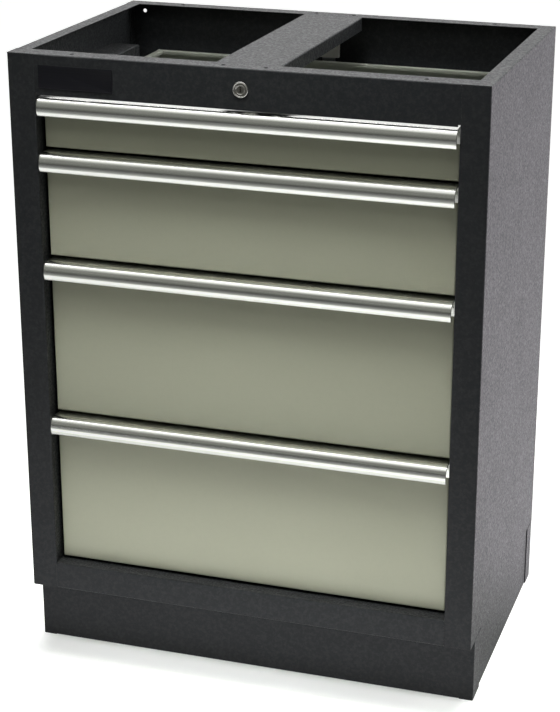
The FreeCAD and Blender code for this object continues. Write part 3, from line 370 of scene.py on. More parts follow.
# %% The effects
POWDER_GRAIN = powder_grain_group()
BRUSHED_GRAIN = brushed_grain_group()
HANDLING = handling_group()
WORN_EDGE = worn_edge_group()
SETTLED_DUST = settled_dust_group()
print("shared effects", len(bpy.data.node_groups))


# %% Start of a material
def new_material(name):
    """A material with an empty Principled shader; returns it, its tree and the shader."""
    material = bpy.data.materials.new(name)
    material.use_nodes = True
    tree = material.node_tree
    return material, tree, tree.nodes["Principled BSDF"]


def bump(tree, height, distance, strength=1.0, normal=None):
    """The normal of a surface with a fine relief; distance is the relief's depth in metres."""
    node = add_node(tree, "ShaderNodeBump")
    feed(tree, node, Strength=strength, Distance=distance, Height=height)
    if normal is not None:
        feed(tree, node, Normal=normal)
    return node.outputs[0]


def coat(tree, grain, worn, tints, wear, dust_amount, dust_tint):
    """The colour of a coat of paint; tints are the paint's, its flecks' and its worn edges'."""
    dust = place_group(tree, SETTLED_DUST, Amount=dust_amount)
    paint = mixed_colour(tree, grain["Fleck"], tints[0], tints[1])
    edged = mixed_colour(tree, times(tree, worn["Mask"], wear), paint, tints[2])
    return mixed_colour(tree, dust["Mask"], edged, dust_tint)


# %% [markdown]
# ## Charcoal powder coat
#
# The casing and the plinth are coated with a charcoal powder paint. Seen from the front it is
# nearly black, and seen along the surface it turns mid grey, because every glossy paint mirrors
# more of the room at a low angle. That grey must come from the shader's own reflection, not from
# the colour, so the colour stays very dark and the white room behind the cabinet does the rest.
#
# The grain shows as bright points far more than as bumps: each pebble mirrors the room its own
# way. A clear coat whose weight follows the sparkle gives those points. The picture shows them
# on the sides and flanges, and hardly on the faces that look forward, so both the relief and
# the sparkle are weaker there.


# %% Casing paint
CHARCOAL, CHARCOAL_FLECK = colour(0.0193, 0.0211, 0.0221), colour(0.0371, 0.0386, 0.04)
WORN_CHARCOAL, CHARCOAL_WEAR = colour(0.043, 0.043, 0.043), 0.4
CHARCOAL_DUST, CHARCOAL_DUST_TINT = 0.05, colour(0.25, 0.243, 0.229)
CASING_ROUGHNESS = (0.4, 0.42)
CASING_RELIEF = 0.8 * MM
LOOKS_FORWARD = (0.5, 0.9)
SIDE_RELIEF, FRONT_RELIEF = 1.0, 0.19
SPARKLE_RANGE = (0.45, 0.62)
SIDE_SPARKLE, FRONT_SPARKLE = 0.4, 0.06


def casing_paint():
    """Charcoal powder coat with a pebbled skin, fine flecks and sparkle."""
    material, tree, shader = new_material("charcoal_powder_coat")
    grain = place_group(tree, POWDER_GRAIN, Grain_size=2.6 * MM, Flecks=0.55)
    worn = place_group(tree, WORN_EDGE, Radius=0.6 * MM, Break_up=0.7)
    dull = place_group(tree, HANDLING, Patch_size=90 * MM)
    tints = (CHARCOAL, CHARCOAL_FLECK, WORN_CHARCOAL)
    paint = coat(tree, grain, worn, tints, CHARCOAL_WEAR, CHARCOAL_DUST, CHARCOAL_DUST_TINT)
    rough = remap(tree, dull["Mask"], 0.0, 1.0, *CASING_ROUGHNESS)
    shader.inputs["IOR"].default_value = 1.29
    shader.inputs["Specular Tint"].default_value = colour(0.97, 0.93, 1.0)
    shader.inputs["Coat Roughness"].default_value = 0.35
    forward = maths(tree, "ABSOLUTE", facing_of(tree)["Y"])
    relief = times(tree, grain["Height"], remap(tree, forward, *LOOKS_FORWARD, SIDE_RELIEF, FRONT_RELIEF))
    sparkle = times(tree, remap(tree, grain["Sparkle"], *SPARKLE_RANGE),
                    remap(tree, forward, *LOOKS_FORWARD, SIDE_SPARKLE, FRONT_SPARKLE))
    feed(tree, shader, Base_Color=paint, Roughness=rough, Coat_Weight=sparkle,
         Normal=bump(tree, relief, CASING_RELIEF, 1.0, worn["Normal"]))
    return material


# %% [markdown]
# ## Grey-green drawer paint
#
# The drawer fronts and trays have a smooth baked enamel. Its skin is nearly flat, with the very
# slight orange peel that sprayed paint keeps, so the same powder group is used with a wider
# grain and hardly any relief. The trays get a darker copy of the enamel, a painted shade for the
# shadow inside the cabinet, and a little dust on their floors.


# %% Drawer paints
FLECK_SHADE = 0.95
WORN_ENAMEL, ENAMEL_WEAR = colour(0.45, 0.45, 0.4), 0.25
ENAMEL_DUST_TINT = colour(0.36, 0.34, 0.31)
ENAMEL_DULLER = 0.08
ENAMEL_RELIEF, ENAMEL_PEEL = 0.03 * MM, 0.25


def enamel(name, tint, roughness, dust_amount):
    """Smooth grey-green enamel."""
    material, tree, shader = new_material(name)
    grain = place_group(tree, POWDER_GRAIN, Grain_size=4 * MM, Flecks=0.25)
    worn = place_group(tree, WORN_EDGE, Radius=0.5 * MM, Break_up=0.8)
    dull = place_group(tree, HANDLING, Patch_size=120 * MM)
    tints = (colour(*tint), shaded(tint, FLECK_SHADE), WORN_ENAMEL)
    paint = coat(tree, grain, worn, tints, ENAMEL_WEAR, dust_amount, ENAMEL_DUST_TINT)
    rough = remap(tree, dull["Mask"], 0.0, 1.0, roughness, roughness + ENAMEL_DULLER)
    feed(tree, shader, Base_Color=paint, Roughness=rough,
         Normal=bump(tree, grain["Height"], ENAMEL_RELIEF, ENAMEL_PEEL, worn["Normal"]))
    return material


# %% [markdown]
# ## Metals
#
# The grips are extruded aluminium, drawn to a satin shine with fine lines along their length.
# Their saw-cut ends are rough and carry a painted dark shade, and their flat tops are duller than
# the polished crowns. The slides, rivets, screws and the lock's linkage are zinc-plated steel,
# duller and a little blue. The lock is nickel-plated; its faces that look straight forward are
# rougher and carry a painted darker shade, which makes its ring stand out. A metal's colour is
# its reflection, so what these finishes mostly set is roughness and the fine relief that
# stretches highlights.


# %% Brushed metal
STREAK_SHADE, STREAK_RANGE, STREAK_ROUGHER = 0.9, (0.3, 0.7), 0.04
LINE_STRETCH, LINE_STRENGTH = 0.004, 0.5
# An end faces along the width, and a flat top straight up. The ends are rough and carry a painted dark
# shade
SAWN_RANGE, END_SHADE_TINT, SAWN_ROUGHER = (0.1, 0.4), colour(0.04, 0.04, 0.04), 0.35
TOP_RANGE, TOP_ROUGHER = (0.985, 0.998), 0.14


def brushed_metal(name, tint, roughness, line_width, relief, patch_size, dull_by):
    """Metal with fine lines along the width of the cabinet."""
    material, tree, shader = new_material(name)
    lines = place_group(tree, BRUSHED_GRAIN, Line_width=line_width, Stretch=LINE_STRETCH)
    dull = place_group(tree, HANDLING, Patch_size=patch_size)
    facing = facing_of(tree)
    shaded_rough_end = remap(tree, maths(tree, "ABSOLUTE", facing["X"]), *SAWN_RANGE)
    top = remap(tree, facing["Z"], *TOP_RANGE)
    streaks = remap(tree, lines["Streak"], *STREAK_RANGE)
    drawn = mixed_colour(tree, streaks, colour(*tint), shaded(tint, STREAK_SHADE))
    # Painted shade: the ends get a near-black colour in place of their reflections
    metal = mixed_colour(tree, shaded_rough_end, drawn, END_SHADE_TINT)
    rough = remap(tree, lines["Height"], *STREAK_RANGE, roughness, roughness + STREAK_ROUGHER)
    for mask, rougher in ((dull["Mask"], dull_by), (shaded_rough_end, SAWN_ROUGHER), (top, TOP_ROUGHER)):
        rough = maths(tree, "ADD", rough, times(tree, mask, rougher))
    feed(tree, shader, Base_Color=metal, Metallic=1.0, Roughness=rough,
         Normal=bump(tree, lines["Height"], relief, LINE_STRENGTH))
    return material


# %% Plated steel
CRYSTAL_SHADE, CRYSTAL_ROUGHER = 0.82, 0.12
PLATING_GRAIN, PLATING_RELIEF, PLATING_STRENGTH = 0.7 * MM, 0.01 * MM, 0.4
FACE_RANGE, FACE_ROUGHER = (0.94, 0.99), 0.2


def plated_steel(name, tint, roughness, patch_size, forward_shade_tint=None):
    """Plated steel with soft crystal patches; what looks straight forward can be rougher, under a painted
    darker shade.
    """
    material, tree, shader = new_material(name)
    crystals = feed(tree, add_node(tree, "ShaderNodeTexVoronoi"), Vector=object_place(tree),
                    Scale=1.0 / patch_size)
    grey = feed(tree, add_node(tree, "ShaderNodeRGBToBW"), in0=crystals.outputs["Color"]).outputs[0]
    grain = place_group(tree, POWDER_GRAIN, Grain_size=PLATING_GRAIN, Flecks=0.5)
    metal = mixed_colour(tree, grey, colour(*tint), shaded(tint, CRYSTAL_SHADE))
    rough = remap(tree, grey, 0.0, 1.0, roughness, roughness + CRYSTAL_ROUGHER)
    # Painted shade: faces that look straight forward get a darker colour, and more roughness
    if forward_shade_tint:
        face = remap(tree, maths(tree, "ABSOLUTE", facing_of(tree)["Y"]), *FACE_RANGE)
        metal = mixed_colour(tree, face, metal, colour(*forward_shade_tint))
        rough = maths(tree, "ADD", rough, times(tree, face, FACE_ROUGHER))
    feed(tree, shader, Base_Color=metal, Metallic=1.0, Roughness=rough,
         Normal=bump(tree, grain["Height"], PLATING_RELIEF, PLATING_STRENGTH))
    return material


# %% [markdown]
# ## Plastics
#
# The badge plate is a dark plate with a satin field, left bare. The guides of the lock bar are
# plain nylon, slightly waxy: a pale colour and a wide gloss.


# %% Badge plate and nylon
PLATE_DARK, PLATE_STREAK = colour(0.006, 0.006, 0.008), colour(0.012, 0.012, 0.015)
PLATE_ROUGHNESS, PLATE_RELIEF, PLATE_STRENGTH = (0.5, 0.56), 0.01 * MM, 0.3
NYLON, NYLON_FLECK = colour(0.66, 0.65, 0.6), colour(0.55, 0.54, 0.49)
NYLON_ROUGHNESS, NYLON_RELIEF, NYLON_STRENGTH = 0.42, 0.04 * MM, 0.3


def badge_finish():
    """Dark satin plate."""
    material, tree, shader = new_material("dark_badge_plate")
    lines = place_group(tree, BRUSHED_GRAIN, Line_width=0.18 * MM, Stretch=0.006)
    dull = place_group(tree, HANDLING, Patch_size=30 * MM)
    plate = mixed_colour(tree, lines["Streak"], PLATE_DARK, PLATE_STREAK)
    rough = remap(tree, dull["Mask"], 0.0, 1.0, *PLATE_ROUGHNESS)
    shader.inputs["IOR"].default_value = 1.22
    feed(tree, shader, Base_Color=plate, Roughness=rough,
         Normal=bump(tree, lines["Height"], PLATE_RELIEF, PLATE_STRENGTH))
    return material


def nylon_finish():
    """Natural nylon."""
    material, tree, shader = new_material("natural_nylon")
    grain = place_group(tree, POWDER_GRAIN, Grain_size=2 * MM, Flecks=0.4)
    pale = mixed_colour(tree, grain["Fleck"], NYLON, NYLON_FLECK)
    feed(tree, shader, Base_Color=pale, Roughness=NYLON_ROUGHNESS,
         Normal=bump(tree, grain["Height"], NYLON_RELIEF, NYLON_STRENGTH))
    return material


# %% The finishes
FINISHES = {
    "casing_paint": casing_paint(),
    "drawer_front_paint": enamel("drawer_front_enamel", tint=(0.4393, 0.45, 0.34), roughness=0.36,
                                 dust_amount=0.0),
    # The trays' tint is darker than the fronts': painted shade for the shadow inside the cabinet
    "drawer_paint": enamel("shaded_tray_enamel", tint=(0.2429, 0.2536, 0.2179), roughness=0.45,
                           dust_amount=0.05),
    "grip_aluminium": brushed_metal("drawn_aluminium", tint=(0.95, 0.96, 0.92), roughness=0.17,
                                    line_width=0.4 * MM, relief=0.0015 * MM, patch_size=80 * MM,
                                    dull_by=0.05),
    "bare_steel": plated_steel("zinc_plate", tint=(0.62, 0.63, 0.65), roughness=0.28,
                               patch_size=6 * MM),
    "lock_chrome": plated_steel("nickel_plate", tint=(0.86, 0.85, 0.82), roughness=0.1,
                                patch_size=1.5 * MM, forward_shade_tint=(0.3, 0.29, 0.26)),
    "badge": badge_finish(),
    "guide_nylon": nylon_finish(),
}
print("finishes", len(FINISHES))

# %% [markdown]
# ## The construction nodes get their finishes
#
# Every node names the slot of its finish. Assigning to an object's material slot changes only
# its looks: the mesh stays as the construction model has it.

# %% Dress the nodes
for row in frame["record"]["subparts"]:
    node = frame["nodes"][row["node"]]
    for slot in node.material_slots:
        slot.material = FINISHES[row["material_slot"]]
print("nodes dressed", len(frame["nodes"]))


# %% [markdown]
# ## From points to a piece
#
# A new piece is one mesh object with its place in its vertices. These helpers make the object,
# join rows of points with faces, apply modifiers, give the piece its finish, hang it on its
# body and hide the nodes that it stands for.


# %% Piece helper
def finish_piece(piece, body, slot, *nodes):
    """Give a piece its finish and body, and hide the nodes that it stands for."""
    if not piece.data.materials:
        piece.data.materials.append(FINISHES[slot])
    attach(piece, body)
    if nodes:
        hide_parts(*nodes)
    return piece


# %% Shapes from rows of points
MERGE_DISTANCE = 0.001 * MM


def mesh_from(builder, name):
    """A plain mesh from a bmesh, which is freed."""
    mesh = bpy.data.meshes.new(name)
    builder.to_mesh(mesh)
    builder.free()
    return mesh


def object_from(builder, name):
    """A mesh object from a bmesh, with its faces turned outwards."""
    bmesh.ops.remove_doubles(builder, verts=builder.verts, dist=MERGE_DISTANCE)
    bmesh.ops.recalc_face_normals(builder, faces=builder.faces)
    return new_object(name, mesh_from(builder, name))


def join_rings(builder, first, second):
    """Faces between two closed rows of points, none where a face would have no area."""
    for step in range(len(first)):
        after = (step + 1) % len(first)
        corners = (first[step], first[after], second[after], second[step])
        if len({tuple(corner.co) for corner in corners}) > 2:
            builder.faces.new(corners)


def capped_rings(layers):
    """A closed shape through rows of points, from the first row to the last."""
    builder = bmesh.new()
    rings = [[builder.verts.new(point) for point in layer] for layer in layers]
    for first, second in zip(rings, rings[1:]):
        join_rings(builder, first, second)
    builder.faces.new(rings[0])
    builder.faces.new(rings[-1])
    return builder


# %% Modifiers and shading
def apply_modifiers(piece):
    """Make a piece's shape with its modifiers its plain mesh."""
    bpy.context.view_layer.update()
    evaluated = piece.evaluated_get(bpy.context.evaluated_depsgraph_get())
    mesh = bpy.data.meshes.new_from_object(evaluated)
    piece.modifiers.clear()
    old = piece.data
    piece.data = mesh
    bpy.data.meshes.remove(old)


def shade_smooth(piece, under_degrees):
    """Smooth shading, with edges sharper than an angle kept crisp."""
    mesh = piece.data
    mesh.polygons.foreach_set("use_smooth", [True] * len(mesh.polygons))
    mesh.set_sharp_from_angle(angle=math.radians(under_degrees))


def soften(piece, width, segments, smooth_under):
    """Round the sharp edges of a piece and shade it smooth."""
    edges = piece.modifiers.new("softened_edges", "BEVEL")
    edges.width = width
    edges.segments = segments
    edges.limit_method = "ANGLE"
    edges.angle_limit = math.radians(smooth_under)
    edges.harden_normals = False
    apply_modifiers(piece)
    shade_smooth(piece, smooth_under)
    return piece


# %% [markdown]
# ## The grips
#
# Each grip is an aluminium extrusion, the same outline from end to end, so it is one outline
# swept along the width. The outline is a flat top that lies on the drawer front, a crown that
# bends down from it, a nose that the fingers pull, and a web behind it that the screws hold.
# How the highlights run over a bright metal depends on its curvature, so the arcs get many
# more points here than the construction model needs, and the ends are softened as a saw cut
# is after polishing. Smooth shading blends a face's corners, so a softened end would tint the
# whole length: a short step at each end keeps it there.

# %% Grip outline
NOSE_PROUD = 6 * MM
FRONT_Y = LOW.y + NOSE_PROUD
GRIP_WALL, GRIP_HEIGHT = 2 * MM, 26.5 * MM
NOSE_RADIUS, NOSE_MIDDLE_Y = 18 * MM, 12 * MM
NOSE_LOW, NOSE_HIGH = math.radians(-35), math.radians(25)
WEB_FRONT, WEB_BACK, TOP_BACK = 17 * MM, 19 * MM, 27 * MM
WEB_HEIGHT = 24 * MM
ARC_STEPS = 14
END_STEP = 3 * MM
GRIP_EDGE, GRIP_EDGE_STEPS, GRIP_CREASE = 0.4 * MM, 3, 30


def arc_points(middle, radius, start, end, steps):
    """Points on an arc in the cabinet's depth and height; angle 0 looks to the front."""
    points = []
    for step in range(steps + 1):
        angle = start + (end - start) * step / steps
        points.append((middle[0] - radius * math.cos(angle), middle[1] + radius * math.sin(angle)))
    return points


def grip_outline(top):
    """The closed outline of a grip, as depth from the casing's front and height."""
    nose_middle = (NOSE_MIDDLE_Y, top - GRIP_HEIGHT - NOSE_RADIUS * math.sin(NOSE_LOW))
    nose_top = arc_points(nose_middle, NOSE_RADIUS, NOSE_HIGH, NOSE_HIGH, 1)[0]
    crown_radius = (top - nose_top[1]) / (1 - math.sin(NOSE_HIGH))
    crown_middle = (nose_top[0] + crown_radius * math.cos(NOSE_HIGH), top - crown_radius)
    outer = arc_points(nose_middle, NOSE_RADIUS, NOSE_LOW, NOSE_HIGH, ARC_STEPS)
    outer += arc_points(crown_middle, crown_radius, NOSE_HIGH, math.pi / 2, ARC_STEPS)[1:]
    inner = arc_points(crown_middle, crown_radius - GRIP_WALL, math.pi / 2, NOSE_HIGH, ARC_STEPS)
    inner += arc_points(nose_middle, NOSE_RADIUS - GRIP_WALL, NOSE_HIGH, NOSE_LOW, ARC_STEPS)[1:]
    back = [(TOP_BACK, top), (TOP_BACK, top - GRIP_WALL), (WEB_BACK, top - GRIP_WALL),
            (WEB_BACK, top - WEB_HEIGHT), (WEB_FRONT, top - WEB_HEIGHT), (WEB_FRONT, top - GRIP_WALL)]
    return outer + back + inner


# %% Make the grips
def make_grip(number):
    """One grip, swept along the width of its drawer."""
    node = f"drawer_{number}_grip"
    low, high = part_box(node)
    outline = grip_outline(high.z)
    stations = (low.x, low.x + END_STEP, high.x - END_STEP, high.x)
    layers = [[(x, FRONT_Y + depth, z) for depth, z in outline] for x in stations]
    grip = object_from(capped_rings(layers), f"grip_{number}")
    soften(grip, GRIP_EDGE, GRIP_EDGE_STEPS, GRIP_CREASE)
    return finish_piece(grip, f"drawer_{number}", "grip_aluminium", node)


grips = [make_grip(number) for number in DRAWERS]
print("grip faces", len(grips[0].data.polygons))


# %% [markdown]
# ## The lock
#
# A cam lock is turned on a lathe: a ring with a rounded rim stands proud of the rail, and a
# plug with a slot for the key turns in it. Both are an outline spun about the lock's axis. The
# slot is then cut out of the plug with a Boolean, because it isn't round.


# %% Lock ring
BARREL_BORE, BARREL_RADIUS = 6.55 * MM, 9.5 * MM
RING_BEAD, RING_DISH, DISH_EDGE = 1.1 * MM, 0.9 * MM, 0.3 * MM
RING_STEPS, RING_SIDES, RING_CREASE = 10, 72, 40


def spun(outline_points, middle, segments):
    """A closed outline of (radius, depth) spun about an axis that runs front to back."""
    builder = bmesh.new()
    turns = [2 * math.pi * step / segments for step in range(segments)]
    rings = [[builder.verts.new((middle.x + radius * math.cos(turn), depth,
                                 middle.z + radius * math.sin(turn))) for turn in turns]
             for radius, depth in outline_points]
    for first, second in zip(rings, rings[1:] + rings[:1]):
        join_rings(builder, first, second)
    return builder


def make_lock_ring():
    """The fixed barrel with its proud, dished ring."""
    low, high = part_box("lock_barrel")
    ring, face, end = (high.x - low.x) / 2, low.y, high.y
    dish = face + RING_DISH
    turns = [math.pi * step / RING_STEPS for step in range(RING_STEPS, -1, -1)]
    bead = [(ring - RING_BEAD + RING_BEAD * math.cos(turn), face + RING_BEAD - RING_BEAD * math.sin(turn))
            for turn in turns]
    inner = [(BARREL_BORE, end), (BARREL_BORE, dish + DISH_EDGE), (BARREL_BORE + DISH_EDGE, dish),
             (bead[0][0], dish)]
    outer = [(ring, FRONT_Y), (BARREL_RADIUS, FRONT_Y), (BARREL_RADIUS, end)]
    barrel = object_from(spun(inner + bead + outer, (low + high) / 2, RING_SIDES), "lock_ring")
    shade_smooth(barrel, RING_CREASE)
    return finish_piece(barrel, "carcass", "lock_chrome", "lock_barrel")


lock_ring = make_lock_ring()
print("lock ring faces", len(lock_ring.data.polygons))


# %% Lock plug
# The plug's face lies a little deeper than its rim, and the rim's outer edge is rounded off
FACE_DIP, FACE_INSET, RIM_INSET, PLUG_EDGE = 0.2 * MM, 1.1 * MM, 0.8 * MM, 0.5 * MM
PLUG_SIDES, PLUG_CREASE = 48, 30
KEY_HALF_WIDTH, KEY_HALF_HEIGHT, KEY_DEPTH = 0.9 * MM, 4 * MM, 12 * MM
# The key's profile steps out to one side
WARD_OUT, WARD_LOW, WARD_HIGH = 1.7 * MM, -1.2 * MM, 0.2 * MM
CUT_AHEAD = 1 * MM


def box_mesh(low, high):
    """A box between two corners, as a cutting tool."""
    builder = bmesh.new()
    made = bmesh.ops.create_cube(builder, size=1.0)
    for vert in made["verts"]:
        for axis in range(3):
            vert.co[axis] = low[axis] if vert.co[axis] < 0 else high[axis]
    return builder


def cut_out(piece, *tools):
    """Cut other shapes out of a piece and remove them."""
    for tool in tools:
        cutter = piece.modifiers.new("cut", "BOOLEAN")
        cutter.operation = "DIFFERENCE"
        cutter.solver = "EXACT"
        cutter.object = tool
    apply_modifiers(piece)
    for tool in tools:
        bpy.data.objects.remove(tool)


def make_lock_plug():
    """The turning plug with its key slot."""
    low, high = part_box("lock_plug")
    middle = (low + high) / 2
    radius, face = (high.x - low.x) / 2, low.y
    points = ((0.0, high.y), (0.0, face + FACE_DIP), (radius - FACE_INSET, face + FACE_DIP),
              (radius - RIM_INSET, face), (radius - PLUG_EDGE, face), (radius, face + PLUG_EDGE),
              (radius, high.y))
    plug = object_from(spun(points, middle, PLUG_SIDES), "lock_plug_face")
    tools = []
    for name, right, bottom, top in (("slot_tool", KEY_HALF_WIDTH, -KEY_HALF_HEIGHT, KEY_HALF_HEIGHT),
                                     ("step_tool", WARD_OUT, WARD_LOW, WARD_HIGH)):
        near = (middle.x - KEY_HALF_WIDTH, face - CUT_AHEAD, middle.z + bottom)
        far = (middle.x + right, face + KEY_DEPTH, middle.z + top)
        tools.append(object_from(box_mesh(near, far), name))
    cut_out(plug, *tools)
    shade_smooth(plug, PLUG_CREASE)
    return finish_piece(plug, "lock_core", "lock_chrome", "lock_plug")


lock_plug = make_lock_plug()
print("lock plug faces", len(lock_plug.data.polygons))

# %% [markdown]
# ## The badge plate
#
# A thin plate with rounded corners and a narrow raised rim. Its field is left bare. It is a
# stack of rounded rectangles: the outer ones give the rim, and the inner one is pressed back.


# %% Badge plate
PLATE_RIM, PLATE_PRESS, PLATE_EDGE = 1.1 * MM, 0.35 * MM, 0.25 * MM
PLATE_CORNER, RIM_CORNER, FIELD_CORNER = 1.5 * MM, 0.8 * MM, 0.7 * MM
CORNER_STEPS, PLATE_CREASE = 6, 50


def rounded_rectangle(low, high, inset, radius):
    """Points of a rounded rectangle in the cabinet's width and height."""
    points = []
    corners = ((high.x, high.z), (low.x, high.z), (low.x, low.z), (high.x, low.z))
    for quarter, (x, z) in enumerate(corners):
        middle_x = x - math.copysign(inset + radius, x - (low.x + high.x) / 2)
        middle_z = z - math.copysign(inset + radius, z - (low.z + high.z) / 2)
        for step in range(CORNER_STEPS + 1):
            angle = (quarter + step / CORNER_STEPS) * math.pi / 2
            points.append((middle_x + radius * math.cos(angle), middle_z + radius * math.sin(angle)))
    return points


def make_badge_plate():
    """The bare plate with a raised rim."""
    low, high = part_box("badge_plate")
    stack = ((0.0, PLATE_CORNER, high.y), (0.0, PLATE_CORNER, low.y + PLATE_EDGE),
             (PLATE_EDGE, PLATE_CORNER, low.y), (PLATE_RIM, RIM_CORNER, low.y),
             (PLATE_RIM + PLATE_EDGE, FIELD_CORNER, low.y + PLATE_PRESS))
    layers = [[(x, depth, z) for x, z in rounded_rectangle(low, high, inset, radius)]
              for inset, radius, depth in stack]
    plate = object_from(capped_rings(layers), "bare_badge_plate")
    shade_smooth(plate, PLATE_CREASE)
    return finish_piece(plate, "carcass", "badge", "badge_plate")


badge_plate = make_badge_plate()
print("badge plate faces", len(badge_plate.data.polygons))

# %% [markdown]
# ## Screws and rivets
#
# The cabinet is held by dozens of small fasteners, all of two kinds. That is work for Geometry
# Nodes: one tree builds a fastener from a few sizes, puts a copy on every point, turns each
# copy a different way, as a screwdriver leaves them, and makes one mesh of them all. The
# points and sizes are measured on the construction model's own fasteners: each is one island
# of its node's mesh, wider at the head's end.


# %% Measure the fasteners
NEARLY_SAME = 0.01 * MM
# Sizes are rounded to a thousandth of a millimetre, and lengths to a hundredth
SIZE_DIGITS, LENGTH_DIGITS = 6, 5


def islands_of(node):
    """The separate solids of a node, as lists of points, always in the same order."""
    builder = bmesh.new()
    builder.from_mesh(frame["nodes"][node].data)
    bmesh.ops.remove_doubles(builder, verts=builder.verts, dist=NEARLY_SAME)
    found = set()
    islands = []
    for start in builder.verts:
        if start in found:
            continue
        found.add(start)
        reached = [start]
        island = []
        while reached:
            vert = reached.pop()
            island.append(vert.co.copy())
            for edge in vert.link_edges:
                other = edge.other_vert(vert)
                if other not in found:
                    found.add(other)
                    reached.append(other)
        islands.append(island)
    builder.free()
    return islands


def measure_fastener(island):
    """The seat of the head, the way it faces, and the sizes of one fastener."""
    low = Vector([min(point[side] for point in island) for side in range(3)])
    high = Vector([max(point[side] for point in island) for side in range(3)])
    middle, size = (low + high) / 2, high - low
    # A round fastener is equally wide in two directions: the third is its axis
    axis = min(range(3), key=lambda side: abs(size[side - 1] - size[side - 2]))
    across = [other for other in range(3) if other != axis]
    levels = sorted({round(point[axis], LENGTH_DIGITS) for point in island})

    def radius_at(level):
        near = [point for point in island if abs(point[axis] - level) < NEARLY_SAME]
        far = max(math.hypot(*(point[side] - middle[side] for side in across)) for point in near)
        return round(far, SIZE_DIGITS)

    head_is_last = radius_at(levels[-1]) > radius_at(levels[0])
    from_head = levels[::-1] if head_is_last else levels
    head, seat, tip = from_head[0], from_head[1], from_head[-1]
    middle[axis] = seat
    facing = Vector((0, 0, 0))
    facing[axis] = 1 if head_is_last else -1
    return {"axis": axis, "seat": middle, "facing": facing, "head_radius": radius_at(head),
            "head_height": abs(head - seat), "shank_radius": radius_at(tip),
            "shank_length": round(abs(seat - tip), LENGTH_DIGITS)}


# %% Fastener tree
HEAD_SIDES, HEAD_RINGS, SHANK_SIDES = 20, 4, 12
# The recess, as shares of the head's radius, and how high it lies, as a share of its height
BAR_LENGTH, BAR_WIDTH, RECESS_LIFT = 1.1, 0.26, 0.45


def raise_by(tree, height):
    """A vector that points up by a height."""
    return feed(tree, add_node(tree, "ShaderNodeCombineXYZ"), Z=height).outputs[0]


def moved_up(tree, geometry, height):
    """A shape moved up by a height."""
    node = add_node(tree, "GeometryNodeTransform")
    return feed(tree, node, Geometry=geometry, Translation=raise_by(tree, height)).outputs[0]


